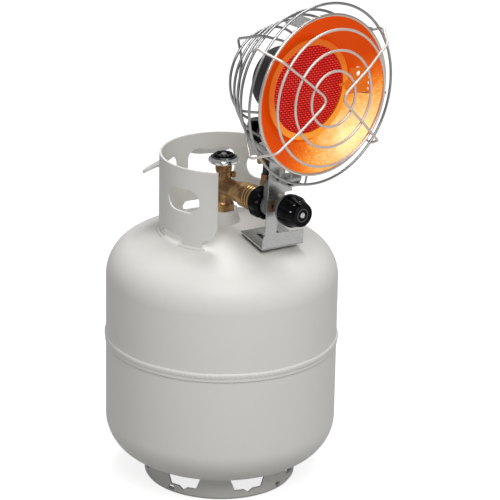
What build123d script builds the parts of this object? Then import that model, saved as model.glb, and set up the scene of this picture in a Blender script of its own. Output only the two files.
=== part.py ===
from build123d import *
from math import atan2, cos, degrees, radians, sin, sqrt, tan
import os

os.makedirs("parts", exist_ok=True)

# Radiant propane heater on its 20 lb cylinder.
# Row frame: +Z up, origin on the cylinder's axis at the floor, the heater faces -Y, +X is to the
# right seen from its front. "Forward" below is the distance along -Y. All sizes in millimetres.

# ---------------------------------------------------------------- cylinder
SHELL_R = 155.0            # outer radius of the shell
SHELL_WALL = 2.6
CROWN_R = 279.0             # each head is a crown sphere and a knuckle torus, close to 2:1
KNUCKLE_R = 52.7
CROWN_DROP = sqrt((CROWN_R - KNUCKLE_R) ** 2 - (SHELL_R - KNUCKLE_R) ** 2)
HEAD_RISE = CROWN_R - CROWN_DROP
LOWER_HEAD_Z = 87.0        # where the lower head turns into the straight wall
UPPER_HEAD_Z = 286.0       # where the straight wall turns into the upper head
GIRTH_Z = 202.0            # joint between the two drawn halves
BEAD_HEIGHT = 7.0
BEAD_PROUD = 1.6

FOOT_R = 102.0
FOOT_WALL = 3.0
FOOT_WINDOWS = 7
FOOT_WINDOW_ANGLE = -106.5  # centre of one window, counter-clockwise from +X
FOOT_WINDOW_SILL = 12.5
FOOT_DRAIN_ANGLE = -78.4    # centre of one of the four square drain holes

COLLAR_R = 85.0
COLLAR_WALL = 3.0
COLLAR_TOP = 457.0
COLLAR_TURN = 11.0          # the collar is welded on a little turned about the axis
COLLAR_HALF_MOUTH = 55.0    # half the angle of its open front
COLLAR_ARCH_Z = 363.0       # lower edge between the welded feet
COLLAR_FEET = (-11.0, 40.0, 90.0, 140.0, 191.0)
COLLAR_FOOT_HALF = 10.0     # half width of a foot, degrees
HAND_HOLE_ANGLES = (0.0, 180.0)
GRIPS = ((52.0, 64.0, 435.0), (107.0, 56.0, 433.0))  # angle, width and top edge of each grip hole

# ---------------------------------------------------------------- cylinder valve
NECK_R = 21.0
NECK_TOP = 378.0
STEM_R = 9.8
OUTLET_Z = 411.0
OUTLET_R = 16.6             # over the outlet's thread
OUTLET_END = 78.0           # how far forward the outlet reaches
SPINDLE_R = 4.0
WHEEL_R = 20.5
INSERT_R = 13.5             # black cap let into the wheel

# ---------------------------------------------------------------- heater
LEAN = 4.2                  # the whole heater leans to its left hand on the outlet axis
NUT_BACK = 71.5
NUT_FRONT = 92.0
NUT_R = 22.5
NUT_LOBES = 8
PLATE_T = 100.0             # rear face of the support bracket
PLATE_THICK = 2.0
REGULATOR_X = 9.5           # the regulator sits to the right of its inlet
KNOB_BACK = 123.0
KNOB_FRONT = 151.0
SHAFT_END = 133.0           # where the knob's shaft ends inside the knob
KNOB_R = 21.5
PIVOT_T = 93.0              # tilt hinge
PIVOT_Z = 484.0
HINGE_X = -3.0
BLOCK_FOOT_Z = 467.5        # underside of the hinge block
VENTURI_T = 107.5            # mixing tube below the burner cup
RISER_T = 86.0               # gas riser behind the strip
HEAD_Z = 581.0              # axis of the burner head
RIM_T = 181.0               # front plane of the reflector rim
RIM_R = 105.5
FLANGE_R = 66.0
SCREEN_R = 58.4
CAN_R = 61.0                # wide front part of the burner cup
CUP_R = 41.0
CUP_DEPTH = 91.6            # behind the rim plane
VALVE_Z = 503.5             # safety valve behind the head
WIRE_R = 1.75
RIM_STAYS = (248.0, 262.0)    # clock angles of the short stays under the rim
LEAD_R = 1.1
WINDOW_X = (76.0, 99.0)      # opening in the reflector's right wall
WINDOW_Z = (-14.0, 24.0)
LEAD_ROUTE = ((89.0, 156.8, 584.0), (89.0, 138.0, 583.5), (83.0, 121.0, 572.0), (68.0, 104.0, 549.0),
              (44.0, 91.0, 529.0), (22.0, 80.0, 515.0), (5.2, 74.5, 506.0))  # x, forward, z
LEAD_BENDS = (18.0, 30.0, 40.0, 40.0, 30.0)
TAG_ANGLE = 113.0            # clock angle of the bare tag
HOOP_R = 118.0              # large front hoop
HOOP_BACK = 4.5             # behind the rim plane
FACE_RINGS = ((36.4, 19.0), (63.0, 19.0), (89.0, 15.5))       # radius, ahead of the rim plane
TOUCH = 2 * WIRE_R - 0.1     # centre distance of two welded wires
BASKET = ((101.0, 41.5), (89.7, 61.5), (77.3, 83.5), (62.0, 110.5))  # radius, behind the rim
# rear U wires, drawn on the left side: points (radius, behind the rim, clock angle) of the upper
# leg, of a lower leg inside the hoops, of one outside them, and of the bow
UPPER_LEG = ((107.8, 1.0, 133.4), (107.4, 12.0, 133.6), (104.4, 43.3, 134.2), (76.0, 110.0, 136.0))
INNER_LEG = ((107.8, 1.0, 185.0), (107.4, 12.0, 186.5), (98.0, 39.8, 191.5), (78.1, 75.0, 203.0),
             (58.0, 110.0, 214.0))
OUTER_LEG = ((107.8, 1.0, 185.0), (107.4, 12.0, 186.5), (104.5, 43.4, 191.5), (84.6, 79.8, 203.0),
             (63.5, 115.9, 214.0))
BOW = (40.0, 122.5, 150.0)
LEFT_SPOKES = (33.0, -35.0)    # legs of the two hairpin wires, from level
RIGHT_SPOKES = (36.0, -38.0)


# ---------------------------------------------------------------- helpers
def turned_z(points):
    """Solid turned about +Z from (radius, height) points."""
    return revolve(Plane.XZ * make_face(Polyline(*points, close=True)), Axis.Z)


def turned_forward(points, x=0.0, z=0.0):
    """Solid turned about a level axis through (x, z) from (forward, radius) points."""
    outline = [(radius, -forward) for forward, radius in points]
    return Pos(x, 0, z) * revolve(make_face(Polyline(*outline, close=True)), Axis.Y)


def rod_forward(start, end, radius, x=0.0, z=0.0):
    return Pos(x, -(start + end) / 2, z) * Rot(90, 0, 0) * Cylinder(radius, abs(end - start))


def rod_x(start, end, radius, forward, z):
    return Pos((start + end) / 2, -forward, z) * Rot(0, 90, 0) * Cylinder(radius, end - start)


def rod_z(low, high, radius, x=0.0, forward=0.0):
    return Pos(x, -forward, (low + high) / 2) * Cylinder(radius, high - low)


def block(x, forward, z):
    """Box from ranges (low, high) of x, forward distance and z."""
    size = [span[1] - span[0] for span in (x, forward, z)]
    return Pos(sum(x) / 2, -sum(forward) / 2, sum(z) / 2) * Box(*size)


def hexagon_forward(start, end, across_flats, x=0.0, z=0.0):
    prism = extrude(RegularPolygon(across_flats / 2, 6, major_radius=False), end - start)
    return Pos(x, -start, z) * Rot(90, 0, 0) * prism


def hexagon_z(low, high, across_flats, x=0.0, forward=0.0):
    prism = extrude(RegularPolygon(across_flats / 2, 6, major_radius=False), high - low)
    return Pos(x, -forward, low) * prism


def wire(points, radii, thickness=WIRE_R):
    """Wire along straight runs joined by tangent arcs, eight-sided to keep its faces few."""
    path = FilletPolyline(*points, radius=radii)
    section = RegularPolygon(thickness * 1.04, 8)
    return sweep(Plane(path @ 0, z_dir=path % 0) * section, path)


def leaned(shape):
    return shape.rotate(Axis((0, 0, OUTLET_Z), (0, 1, 0)), LEAN)


def write(shape, name):
    export_step(shape, f"parts/{name}.step")


def write_heater(shape, name):
    write(leaned(shape), name)


# ---------------------------------------------------------------- cylinder shell
def half_section(inset, wall):
    """Edges of a straight wall of the given length closed by a domed head."""
    knuckle_angle = degrees(atan2(CROWN_DROP, SHELL_R - KNUCKLE_R))
    knuckle = CenterArc((SHELL_R - KNUCKLE_R, wall), KNUCKLE_R - inset, 0, knuckle_angle)
    crown = CenterArc((0, wall - CROWN_DROP), CROWN_R - inset, knuckle_angle, 90 - knuckle_angle)
    return [Line((SHELL_R - inset, 0), (SHELL_R - inset, wall)), knuckle, crown]


def dome_height(radius):
    """Height of a head's outside above its straight wall."""
    return sqrt(CROWN_R ** 2 - radius ** 2) - CROWN_DROP


def shell_half(wall):
    """One drawn half, standing on its open end."""
    edges = half_section(0, wall) + half_section(SHELL_WALL, wall)
    edges.append(Line((SHELL_R - SHELL_WALL, 0), (SHELL_R, 0)))
    edges.append(Line((0, wall + HEAD_RISE - SHELL_WALL), (0, wall + HEAD_RISE)))
    return revolve(Plane.XZ * make_face(edges), Axis.Z)


def upper_shell():
    """Upper half, with the hole that the neck boss is welded into."""
    half = Pos(0, 0, GIRTH_Z) * shell_half(UPPER_HEAD_Z - GIRTH_Z)
    return half - rod_z(300, 400, NECK_R)


def lower_shell():
    return Pos(0, 0, GIRTH_Z) * Rot(180, 0, 0) * shell_half(GIRTH_Z - LOWER_HEAD_Z)


def filled_head():
    """Solid that matches the outside of a head, standing on the plane z = 0."""
    edges = half_section(0, 5)
    edges += [Line((SHELL_R, 0), (0, 0)), Line((0, 0), (0, HEAD_RISE + 5))]
    return Pos(0, 0, -5) * revolve(Plane.XZ * make_face(edges), Axis.Z)


def upper_dome():
    return Pos(0, 0, UPPER_HEAD_Z) * filled_head()


def lower_dome():
    return Pos(0, 0, LOWER_HEAD_Z) * Rot(180, 0, 0) * filled_head()


def girth_weld():
    low, high = GIRTH_Z - BEAD_HEIGHT / 2, GIRTH_Z + BEAD_HEIGHT / 2
    crown = ThreePointArc((SHELL_R, low), (SHELL_R + BEAD_PROUD, GIRTH_Z), (SHELL_R, high))
    return revolve(Plane.XZ * make_face([crown, Line((SHELL_R, high), (SHELL_R, low))]), Axis.Z)


def foot_ring():
    """Rolled ring under the shell with tall windows and small square drain holes."""
    top = LOWER_HEAD_Z
    ring = turned_z([
        (FOOT_R - 9, 0), (FOOT_R - 2, 0), (FOOT_R, 3), (FOOT_R, top),
        (FOOT_R - FOOT_WALL, top), (FOOT_R - FOOT_WALL, 4), (FOOT_R - 9, 3),
    ])
    half_top = FOOT_R * tan(radians(16.0))
    half_sill = FOOT_R * tan(radians(10.5))
    outline = [
        (-half_top, 40), (-half_sill, FOOT_WINDOW_SILL), (-6, FOOT_WINDOW_SILL), (0, 8),
        (6, FOOT_WINDOW_SILL), (half_sill, FOOT_WINDOW_SILL), (half_top, 40),
    ]
    window = extrude(Plane.YZ * make_face(Polyline(*outline, close=True)), 200)
    for index in range(FOOT_WINDOWS):
        ring -= Rot(0, 0, FOOT_WINDOW_ANGLE + index * 360 / FOOT_WINDOWS) * window
    drain = extrude(Plane.YZ * Pos(0, 6.8) * RectangleRounded(9.5, 7.0, 1.5), 200)
    for index in range(4):
        ring -= Rot(0, 0, FOOT_DRAIN_ANGLE + index * 90) * drain
    return ring - lower_dome()


def side_cut(outline_face, angle):
    """Radial cutter through the collar wall at an angle; the face is drawn in (across, height)."""
    return Rot(0, 0, angle) * extrude(Plane.YZ * outline_face, 200)


def hand_hole():
    """Lower hand hole, a slot with round ends."""
    return Pos(0, 413) * SlotOverall(53, 32)


def grip_hole(width, top):
    """Upper grip hole below the flap."""
    sill = 395
    return Pos(0, (sill + top) / 2) * RectangleRounded(width, top - sill, 12)


def grip_flap(width, top):
    """Tongue of the grip hole, bent outward and down along the hole's top edge."""
    root = COLLAR_R - COLLAR_WALL
    reach, drop = 29.0, 16.0
    section = Polyline((root, top + 1), (COLLAR_R, top + 1), (COLLAR_R + reach, top - drop),
                       (COLLAR_R + reach - 1, top - drop - 3), (COLLAR_R, top - 2),
                       (root, top - 2), close=True)
    tongue = extrude(Plane.XZ * make_face(section), width / 2 - 4, both=True)
    return tongue & (Pos(COLLAR_R - 1, 0, top) * Cylinder(30, 60))


def collar():
    """Rolled guard: open front, welded feet, hand holes, and grips with turned-out flaps."""
    inner = COLLAR_R - COLLAR_WALL
    body = turned_z([(inner, 330), (COLLAR_R, 330), (COLLAR_R, COLLAR_TOP), (inner, COLLAR_TOP)])
    reach = 3 * COLLAR_R
    slope = reach / tan(radians(COLLAR_HALF_MOUTH))
    body -= extrude(make_face(Polyline((0, 0), (-reach, -slope), (reach, -slope), close=True)), 600)
    for low, high in zip(COLLAR_FEET[:-1], COLLAR_FEET[1:]):
        body -= side_cut(arch(high - low - 2 * COLLAR_FOOT_HALF), (low + high) / 2)
    mouth_left, mouth_right = 270 - COLLAR_HALF_MOUTH, COLLAR_HALF_MOUTH - 90
    for foot, edge in ((COLLAR_FEET[-1] + COLLAR_FOOT_HALF, mouth_left),
                       (COLLAR_FEET[0] - COLLAR_FOOT_HALF, mouth_right)):
        body -= side_cut(mouth_corner(edge - foot), foot)
    for angle in HAND_HOLE_ANGLES:
        body -= side_cut(hand_hole(), angle)
    for angle, width, top in GRIPS:
        body -= side_cut(grip_hole(width, top), angle)
        body += Rot(0, 0, angle) * grip_flap(width, top)
    body -= upper_dome()
    return Rot(0, 0, COLLAR_TURN) * body


def arch(degrees_wide):
    """Raised lower edge between two feet."""
    across = COLLAR_R * sin(radians(degrees_wide / 2))
    return make_face(Polyline((-across, 320), (-across, COLLAR_ARCH_Z - 4),
                              (-across + 4, COLLAR_ARCH_Z), (across - 4, COLLAR_ARCH_Z),
                              (across, COLLAR_ARCH_Z - 4), (across, 320), close=True))


def mouth_corner(degrees_wide):
    """Lower edge that sweeps up from the last foot to the mouth."""
    way = 1 if degrees_wide > 0 else -1
    across = COLLAR_R * sin(radians(abs(degrees_wide)))
    outline = [(0, 320), (0, COLLAR_ARCH_Z - 4), (4, COLLAR_ARCH_Z), (across * 0.45, COLLAR_ARCH_Z),
               (across * 0.8, COLLAR_ARCH_Z + 6), (across, COLLAR_ARCH_Z + 18),
               (across + 8, COLLAR_ARCH_Z + 30), (across + 8, 320)]
    return make_face(Polyline(*[(way * u, z) for u, z in outline], close=True))


def collar_welds():
    """Bead along the root of every foot of the collar."""
    beads = []
    height = UPPER_HEAD_Z + dome_height(COLLAR_R)
    for angle in COLLAR_FEET:
        arc = COLLAR_FOOT_HALF * 1.3
        bead = Pos(0, 0, height - 0.6) * Torus(COLLAR_R + 0.6, 2.6)
        wedge = extrude(make_face(Polyline(
            (0, 0), (160, -160 * tan(radians(arc))), (160, 160 * tan(radians(arc))),
            close=True)), 600)
        piece = (bead & (Rot(0, 0, angle) * wedge)) - upper_dome()
        piece -= turned_z([(COLLAR_R - COLLAR_WALL, 330), (COLLAR_R, 330),
                           (COLLAR_R, 400), (COLLAR_R - COLLAR_WALL, 400)])
        beads += [solid for solid in piece.solids() if solid.volume > 20]
    return Rot(0, 0, COLLAR_TURN) * Compound(beads)


# ---------------------------------------------------------------- valve
def neck_boss():
    """Threaded flange welded into the top of the shell."""
    seat = UPPER_HEAD_Z + dome_height(NECK_R)
    return turned_z([
        (12, 352), (NECK_R, 352), (NECK_R, seat), (NECK_R + 2, seat), (NECK_R - 1, 374),
        (NECK_R - 4, NECK_TOP), (12, NECK_TOP),
    ])


def valve_body():
    """Brass body: tapered stem in the neck, hex, upright barrel and the outlet tee."""
    barrel = turned_z([
        (0, 340), (12, 340), (12, NECK_TOP), (13, NECK_TOP), (13, 388), (STEM_R + 1.5, 390),
        (STEM_R, 396), (STEM_R, 430), (STEM_R + 1.2, 433), (STEM_R + 1.2, 438), (0, 438),
    ])
    hexagon = hexagon_z(NECK_TOP + 0.5, 387, 27)
    tee = turned_forward([
        (0, 0), (0, 11.5), (26, 12), (33, 14), (44, 14.5), (45, OUTLET_R), (OUTLET_END - 2, OUTLET_R),
        (OUTLET_END, OUTLET_R - 2), (OUTLET_END, 11), (60, 10), (52, 7.5), (40, 7.5), (40, 4),
        (6, 4), (6, 0),
    ], z=OUTLET_Z)
    body = barrel + hexagon + tee
    body -= rod_forward(6, 60, 4, z=OUTLET_Z)
    body -= rod_z(404, 440, SPINDLE_R + 0.05)
    return body - rod_z(340, 404, 3.5)


def bonnet():
    """Packing nut that closes the valve body round the spindle."""
    nut = hexagon_z(438, 443, 19)
    return nut - rod_z(430, 450, SPINDLE_R + 0.05)


def relief_valve():
    """Pressure relief valve screwed in the back of the body."""
    return rod_forward(-12, -20, 6, z=400) + hexagon_forward(-20, -27, 15, z=400)


def bleeder_screw():
    """Slotted fixed-level vent screw on the side of the barrel."""
    return rod_x(STEM_R + 0.1, 13, 3.2, 3, 424) + rod_x(13, 16, 4.5, 3, 424)


def dip_tube():
    return rod_z(268, 340, 3.0, 6.5, 0) - rod_z(260, 345, 2.0, 6.5, 0)


def float_arm():
    """Arm of the overfill stop: a bent wire from its pivot to the float."""
    arm = wire([(-9.8, -4, 333.6), (-40, -4, 318), (-84, -4, 300)], [14], 1.5)
    hub = rod_forward(-1, 9, 2.6, -7, 334) - rod_forward(-2, 10, 1.55, -7, 334)
    return arm + hub


def overfill_float():
    ball = Pos(-98, 4, 296) * Cylinder(12, 34)
    return fillet(ball.edges(), 5)


def float_bracket():
    """Fork under the valve that carries the float arm's pin."""
    stem = rod_z(326, 340, 5.0, -2, 4)
    fork = block((-12, 2), (9.4, 11.4), (328, 340)) + block((-12, 2), (-3.4, -1.4), (328, 340))
    bridge = block((-5, 2), (-3.4, 11.4), (337, 340))
    pin = rod_forward(-3.4, 11.4, 1.5, -7, 334)
    return (stem & block((-6, 4), (-3, 11), (337, 340))) + fork + bridge + pin


def handwheel():
    """Cast wheel: dished web, smooth sloping rim and a recess for the insert."""
    return turned_z([
        (SPINDLE_R, 443.5), (8, 443.5), (9, 446), (16, 443.8), (19.4, 443.8),
        (WHEEL_R, 444.8), (WHEEL_R, 448.6), (19.6, 450), (14.6, 453), (INSERT_R + 0.1, 453),
        (INSERT_R + 0.1, 451), (SPINDLE_R, 451),
    ])


def wheel_insert():
    """Black moulded cap with finger flutes, pressed in the wheel's recess."""
    cap = turned_z([(8.2, 451), (INSERT_R, 451), (INSERT_R, 454.6), (11.5, 455.6), (8.2, 454.6)])
    notch = Pos(INSERT_R + 1.6, 0, 454.6) * Cylinder(2.6, 3)
    for index in range(10):
        cap -= Rot(0, 0, index * 36 + 12) * notch
    return cap


def wheel_screw():
    """Screw with a plain washer that holds the wheel on its spindle."""
    return turned_z([(0, 451), (7.6, 451), (7.6, 452.4), (4.2, 452.4), (4.2, 455), (3, 456),
                     (0, 456)])


def spindle():
    """Spindle with the screw that holds the wheel."""
    return rod_z(406, 451, SPINDLE_R) + wheel_screw()


# ---------------------------------------------------------------- coupling and regulator
def coupling_nut():
    """Hand nut: broad finger lobes round the grip, plain skirt behind."""
    floor = 84.0
    nut = turned_forward([
        (NUT_BACK, 17.3), (NUT_BACK, 18.6), (NUT_BACK + 3, 19.8), (NUT_BACK + 5.5, NUT_R),
        (NUT_FRONT - 4, NUT_R), (NUT_FRONT, NUT_R - 4), (NUT_FRONT, 8.4), (floor, 8.4), (floor, 17.3),
    ], z=OUTLET_Z)
    groove = rod_forward(NUT_BACK + 4, NUT_FRONT + 2, 3.6, NUT_R + 2.0, 0)
    for index in range(NUT_LOBES):
        nut -= Pos(0, 0, OUTLET_Z) * Rot(0, index * 360 / NUT_LOBES, 0) * groove
    return nut


def inlet_nipple():
    """Brass tail piece: bulb nose, collar that the nut pulls on, hex and stub."""
    front = PLATE_T + PLATE_THICK
    stub = turned_forward([
        (62, 0), (64, 5), (70, 6.8), (74, 6.8), (76, 9), (79, 9), (80, 15), (83.6, 15), (83.6, 8.0),
        (front, 8.0), (front, 0),
    ], z=OUTLET_Z)
    return stub - rod_forward(60, front + 1, 2.6, z=OUTLET_Z)


def inlet_seal():
    """Soft ring on the nose that seals in the valve."""
    return Pos(0, -72, OUTLET_Z) * Rot(90, 0, 0) * (Cylinder(7.4, 3.0) - Cylinder(6.8, 4.0))


def rear_manifold():
    """Grey die-cast flange behind the bracket with the gas outlet lug."""
    disc = rod_forward(92.8, PLATE_T, 14, z=OUTLET_Z)
    lug = block((-10, 4), (92.8, PLATE_T), (OUTLET_Z, 440))
    dome = rod_forward(92.8, PLATE_T, 7, HINGE_X, 440)
    return disc + lug + dome - rod_forward(90, 104, 8.0, z=OUTLET_Z)


def regulator_body():
    """Die-cast regulator in front of the bracket: neck, flared bowl and raised bezel."""
    front = PLATE_T + PLATE_THICK
    return turned_forward([
        (front, 0), (front, 8.6), (107, 9.2), (112, 13), (117, 19), (119.5, 20.5), (122, 20.5),
        (122, 18.5), (121, 18.5), (121, 6.05), (119.8, 6.05), (119.8, 11), (111.6, 11), (111.6, 0),
    ], x=REGULATOR_X, z=OUTLET_Z)


def diaphragm():
    return rod_forward(111.8, 112.6, 10.8, REGULATOR_X, OUTLET_Z)


def regulator_spring():
    """Coil spring over the diaphragm."""
    coil = Helix(pitch=1.9, height=3.0, radius=8.0)
    section = Plane(coil @ 0, z_dir=coil % 0) * RegularPolygon(0.7, 6)
    turns = sweep(section, coil, is_frenet=True)
    return Pos(REGULATOR_X, -113.8, OUTLET_Z) * Rot(90, 0, 0) * turns


def knob_shaft():
    shaft = rod_forward(118.4, SHAFT_END, 6.0, REGULATOR_X, OUTLET_Z)
    return shaft + rod_forward(118.2, 119.4, 9, REGULATOR_X, OUTLET_Z)


def control_knob():
    """Fluted knob: wide base with finger lobes, tapered grip, flat front disc and pale dot."""
    knob = turned_forward([
        (KNOB_BACK, 6.0), (KNOB_BACK, KNOB_R - 1), (KNOB_BACK + 1.5, KNOB_R),
        (KNOB_BACK + 11, KNOB_R), (KNOB_BACK + 17, 18.5), (KNOB_FRONT - 3, 16),
        (KNOB_FRONT, 15), (KNOB_FRONT, 13.6), (KNOB_FRONT - 1, 13.4), (KNOB_FRONT - 1, 0),
        (SHAFT_END, 0), (SHAFT_END, 6.0),
    ])
    flute = Pos(KNOB_R + 3.2, -(KNOB_BACK + 7), 0) * Rot(90, 0, 0) * Cylinder(4.5, 40)
    for index in range(9):
        knob -= Rot(0, index * 40 + 20, 0) * flute
    knob += rod_forward(KNOB_FRONT - 1, KNOB_FRONT - 0.2, 3.5)
    return Pos(REGULATOR_X, 0, OUTLET_Z) * knob


# ---------------------------------------------------------------- bracket
def support_bracket():
    """One bent sheet: upright strip, wide lower flange, and a foot turned back under it."""
    outline = [
        (-12, 352), (57, 352), (57, 371), (9.5, 373), (7.5, 430), (6, 461), (5.5, 484),
        (-11.5, 484), (-10, 461), (-9.5, 430), (-9.5, 373), (-12, 368),
    ]
    face = Plane.XZ * make_face(Polyline(*outline, close=True))
    plate = Pos(0, -PLATE_T, 0) * extrude(face, PLATE_THICK)
    length, rise = 44.5, 11.6
    tilt = degrees(atan2(rise, length))
    foot = block((-12, 57), (-sqrt(length ** 2 + rise ** 2), 0), (0, PLATE_THICK))
    slot = Rot(0, 0, 90) * extrude(SlotOverall(20, 7), 20, both=True)
    for centre_x in (8, 36):
        foot -= Pos(centre_x, 24, 0) * slot
    bend = rod_x(-12, 57, PLATE_THICK, 0, PLATE_THICK) & block((-12, 57), (0, 3), (0, 2))
    foot = Rot(tilt, 0, 0) * (foot + bend)
    foot = Pos(0, -PLATE_T, 352) * foot
    bracket = plate + foot
    tab = block((4, 31), (PLATE_T, PLATE_T + PLATE_THICK), (428, 443))
    shelf = block((9, 31), (PLATE_T, 122), (441, 443))
    seat = rod_forward(PLATE_T, PLATE_T + PLATE_THICK, 12, REGULATOR_X, OUTLET_Z)
    bracket += tab + shelf + seat
    return bracket - rod_forward(98, 104, 8.0, z=OUTLET_Z)


def foot_pad():
    """Ribbed rubber pad glued under the foot."""
    length, rise = 44.5, 11.6
    tilt = degrees(atan2(rise, length))
    pad = block((-10, 50), (-44, -3), (-3, 0))
    return Pos(0, -PLATE_T, 352) * Rot(tilt, 0, 0) * pad


def riser_elbow():
    """Brass elbow on the manifold's lug, turned up into the riser, and the hinge block's plug."""
    level = rod_forward(82, 92.8, 5.2, HINGE_X, 440)
    elbow = level + hexagon_z(436, 451, 11, HINGE_X, 86)
    plug = rod_x(HINGE_X - 17, HINGE_X - 7, 4.0, RISER_T + 4, BLOCK_FOOT_Z + 4.2)
    return Compound([elbow.solid(), plug.solid()])


def gas_riser():
    return rod_z(451, BLOCK_FOOT_Z, 4.5, HINGE_X, RISER_T)


def hinge_block():
    """Black die-cast knuckle on the back of the strip, round over the hinge bolt."""
    low = block((HINGE_X - 7, HINGE_X + 7), (85.5, PLATE_T), (BLOCK_FOOT_Z, PIVOT_Z))
    low += block((HINGE_X - 6, HINGE_X + 6), (81, PLATE_T), (BLOCK_FOOT_Z, PIVOT_Z - 7))
    top = rod_x(HINGE_X - 7, HINGE_X + 7, 7.5, PIVOT_T, PIVOT_Z)
    top &= block((HINGE_X - 7, HINGE_X + 7), (85.5, PLATE_T), (PIVOT_Z - 1, PIVOT_Z + 8))
    return low + top - rod_x(-30, 30, 3.05, PIVOT_T, PIVOT_Z)


def tip_switch():
    """Plated can of the tip-over switch, lying on the bracket's shelf."""
    can = rod_x(6, 29, 7.4, 113, 450.4)
    return can + rod_x(3, 6, 3, 113, 450.4) + rod_x(29, 31, 5, 113, 450.4)


# ---------------------------------------------------------------- burner head
def at_head(shape):
    """Move a piece drawn round the origin, forward along -Y, to the head's axis."""
    return Pos(0, -RIM_T, HEAD_Z) * shape


def head_turned(points):
    """Turned about the head's axis from (ahead of the rim, radius) points."""
    return at_head(turned_forward(points))


def tilt_arm():
    """Steel stirrup: two cheeks on the hinge bolt and a web screwed behind the burner cup."""
    left, right = HINGE_X - 7.4, HINGE_X + 7.4
    back = RIM_T - CUP_DEPTH
    front, rear = PIVOT_T + 6.5, PIVOT_T - 6.5
    outline = [
        (front, PIVOT_Z), (PIVOT_T + 4, PIVOT_Z - 6), (PIVOT_T - 4, PIVOT_Z - 6), (rear, PIVOT_Z),
        (rear, 494), (78, 502), (78, 514), (back - 2, 532), (back - 2, 600), (back, 600),
        (back, 540), (94.6, 514), (94.6, 500), (front, 495),
    ]
    cheek = make_face(Polyline(*[(-forward, z) for forward, z in outline], close=True))
    arm = Part() + block((left, right), (back - 2, back), (532, 600))
    for low in (left - 2, right):
        arm += Pos(low, 0, 0) * extrude(Plane.YZ * cheek, 2)
    return arm - rod_x(-30, 30, 3.05, PIVOT_T, PIVOT_Z)


def hinge_bolt():
    """Bolt through the cheeks and the block, with its hex head on the left."""
    shank = rod_x(HINGE_X - 9.4, HINGE_X + 17, 3.0, PIVOT_T, PIVOT_Z)
    head = Rot(0, 90, 0) * extrude(RegularPolygon(5.5, 6, major_radius=False), 4.5)
    return shank + Pos(HINGE_X - 13.9, -PIVOT_T, PIVOT_Z) * head


def wing_nut():
    """Wing nut that clamps the tilt."""
    hub = rod_x(HINGE_X + 9.4, HINGE_X + 15, 5.5, PIVOT_T, PIVOT_Z)
    wing = block((HINGE_X + 12, HINGE_X + 18), (PIVOT_T - 13, PIVOT_T + 13),
                 (PIVOT_Z - 1.2, PIVOT_Z + 1.2))
    return hub + wing - rod_x(-30, 40, 3.0, PIVOT_T, PIVOT_Z)


def valve_block():
    """Gas block between the cheeks with the safety valve's barrel behind it."""
    body = block((HINGE_X - 7.4, HINGE_X + 7.4), (86, 113), (492.4, 500.3))
    barrel = rod_forward(71, 94.6, 7.4, HINGE_X, VALVE_Z) + rod_forward(71, 77.5, 8.6, HINGE_X, VALVE_Z)
    return body + barrel - rod_forward(70, 82, 5.1, HINGE_X, VALVE_Z)


def safety_button():
    """Large round-cornered push button over the end of the safety valve."""
    cap = block((HINGE_X - 11, HINGE_X + 11), (53, 64.5), (VALVE_Z - 17, VALVE_Z + 16))
    cap = fillet(cap.edges().filter_by(Axis.Y), 8)
    cap = fillet(cap.faces().sort_by(Axis.Y)[-1].edges(), 3)
    return cap + rod_forward(64.4, 75, 5, HINGE_X, VALVE_Z)


def orifice():
    """Brass jet that stands on the gas block under the mixing tube."""
    jet = hexagon_z(500.3, 506, 9.5, HINGE_X, VENTURI_T)
    return jet + rod_z(506, 511, 3, HINGE_X, VENTURI_T)


def venturi_tube():
    """Mixing tube with a flared mouth over the jet."""
    tube = turned_z([(8.2, 508), (6.2, 516), (6.2, 545), (7.2, 545), (7.2, 516), (9.2, 508)])
    inside_cup = head_turned([(-93, 0), (-93, CUP_R), (-50, CUP_R), (-50, 0)])
    return Pos(HINGE_X, -VENTURI_T, 0) * tube - inside_cup


def reflector():
    """Spun shallow dish with a rolled rim, seated on the cup, with a window in its right wall."""
    dish = at_head(revolve(make_face(dish_edges()), Axis.Y))
    rim = hoop(RIM_R - 1.6, -1.0, 1.6)
    return dish - at_head(block(WINDOW_X, (-40, -3), WINDOW_Z)) + rim


def dish_edges():
    """Section of the dish in (radius, -ahead)."""
    seat = CAN_R + 0.05
    behind = Spline((RIM_R - 2.4, 1.0), (95.4, 12.3), (82.6, 25.2), (68, 33.6), (seat, 35.2))
    ahead = Spline((RIM_R - 3.6, 1.0), (94.6, 11.7), (82.0, 24.3), (67.8, 32.6), (seat, 34.2))
    return [behind, ahead, Line(behind @ 0, ahead @ 0), Line(behind @ 1, ahead @ 1)]


def burner_cup():
    """Pressed cup behind the screens: front lip, wide can and the small back chamber."""
    wall = 1.2
    back = -CUP_DEPTH
    return head_turned([
        (-29.2, CAN_R - wall), (-29.2, 64), (-30.2, 64), (-30.2, CAN_R), (-62, CAN_R),
        (-66, CUP_R), (back, CUP_R), (back, 0), (back + wall, 0), (back + wall, CUP_R - wall),
        (-65, CUP_R - wall), (-61, CAN_R - wall),
    ])


def burner_flange():
    """Polished ring that clamps the screens to the cup, with its round-headed screws."""
    ring = head_turned([
        (-27.3, SCREEN_R - 0.4), (-27.3, FLANGE_R - 1), (-28.5, FLANGE_R), (-31.5, FLANGE_R),
        (-31.5, FLANGE_R - 1), (-29.1, FLANGE_R - 1.4), (-29.1, SCREEN_R + 1.0),
        (-31.7, SCREEN_R + 0.6), (-31.7, SCREEN_R - 0.4),
    ])
    for angle in (-46, 44, 134, 226):
        screw = turned_forward([(-25.6, 0), (-25.6, 1.4), (-27.3, 2.8), (-27.3, 0)])
        ring += at_head(Rot(0, -angle, 0) * Pos(62, 0, 0) * screw)
    return ring


def glow_screen():
    """Outer woven screen, slightly domed forward."""
    edge = SCREEN_R + 1.2
    return head_turned([(-27.5, 0), (-28.7, 30), (-32, edge), (-33, edge), (-29.7, 30), (-28.5, 0)])


def inner_screen():
    return head_turned([(-39, 0), (-39, SCREEN_R), (-40, SCREEN_R), (-40, 0)])


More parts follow.
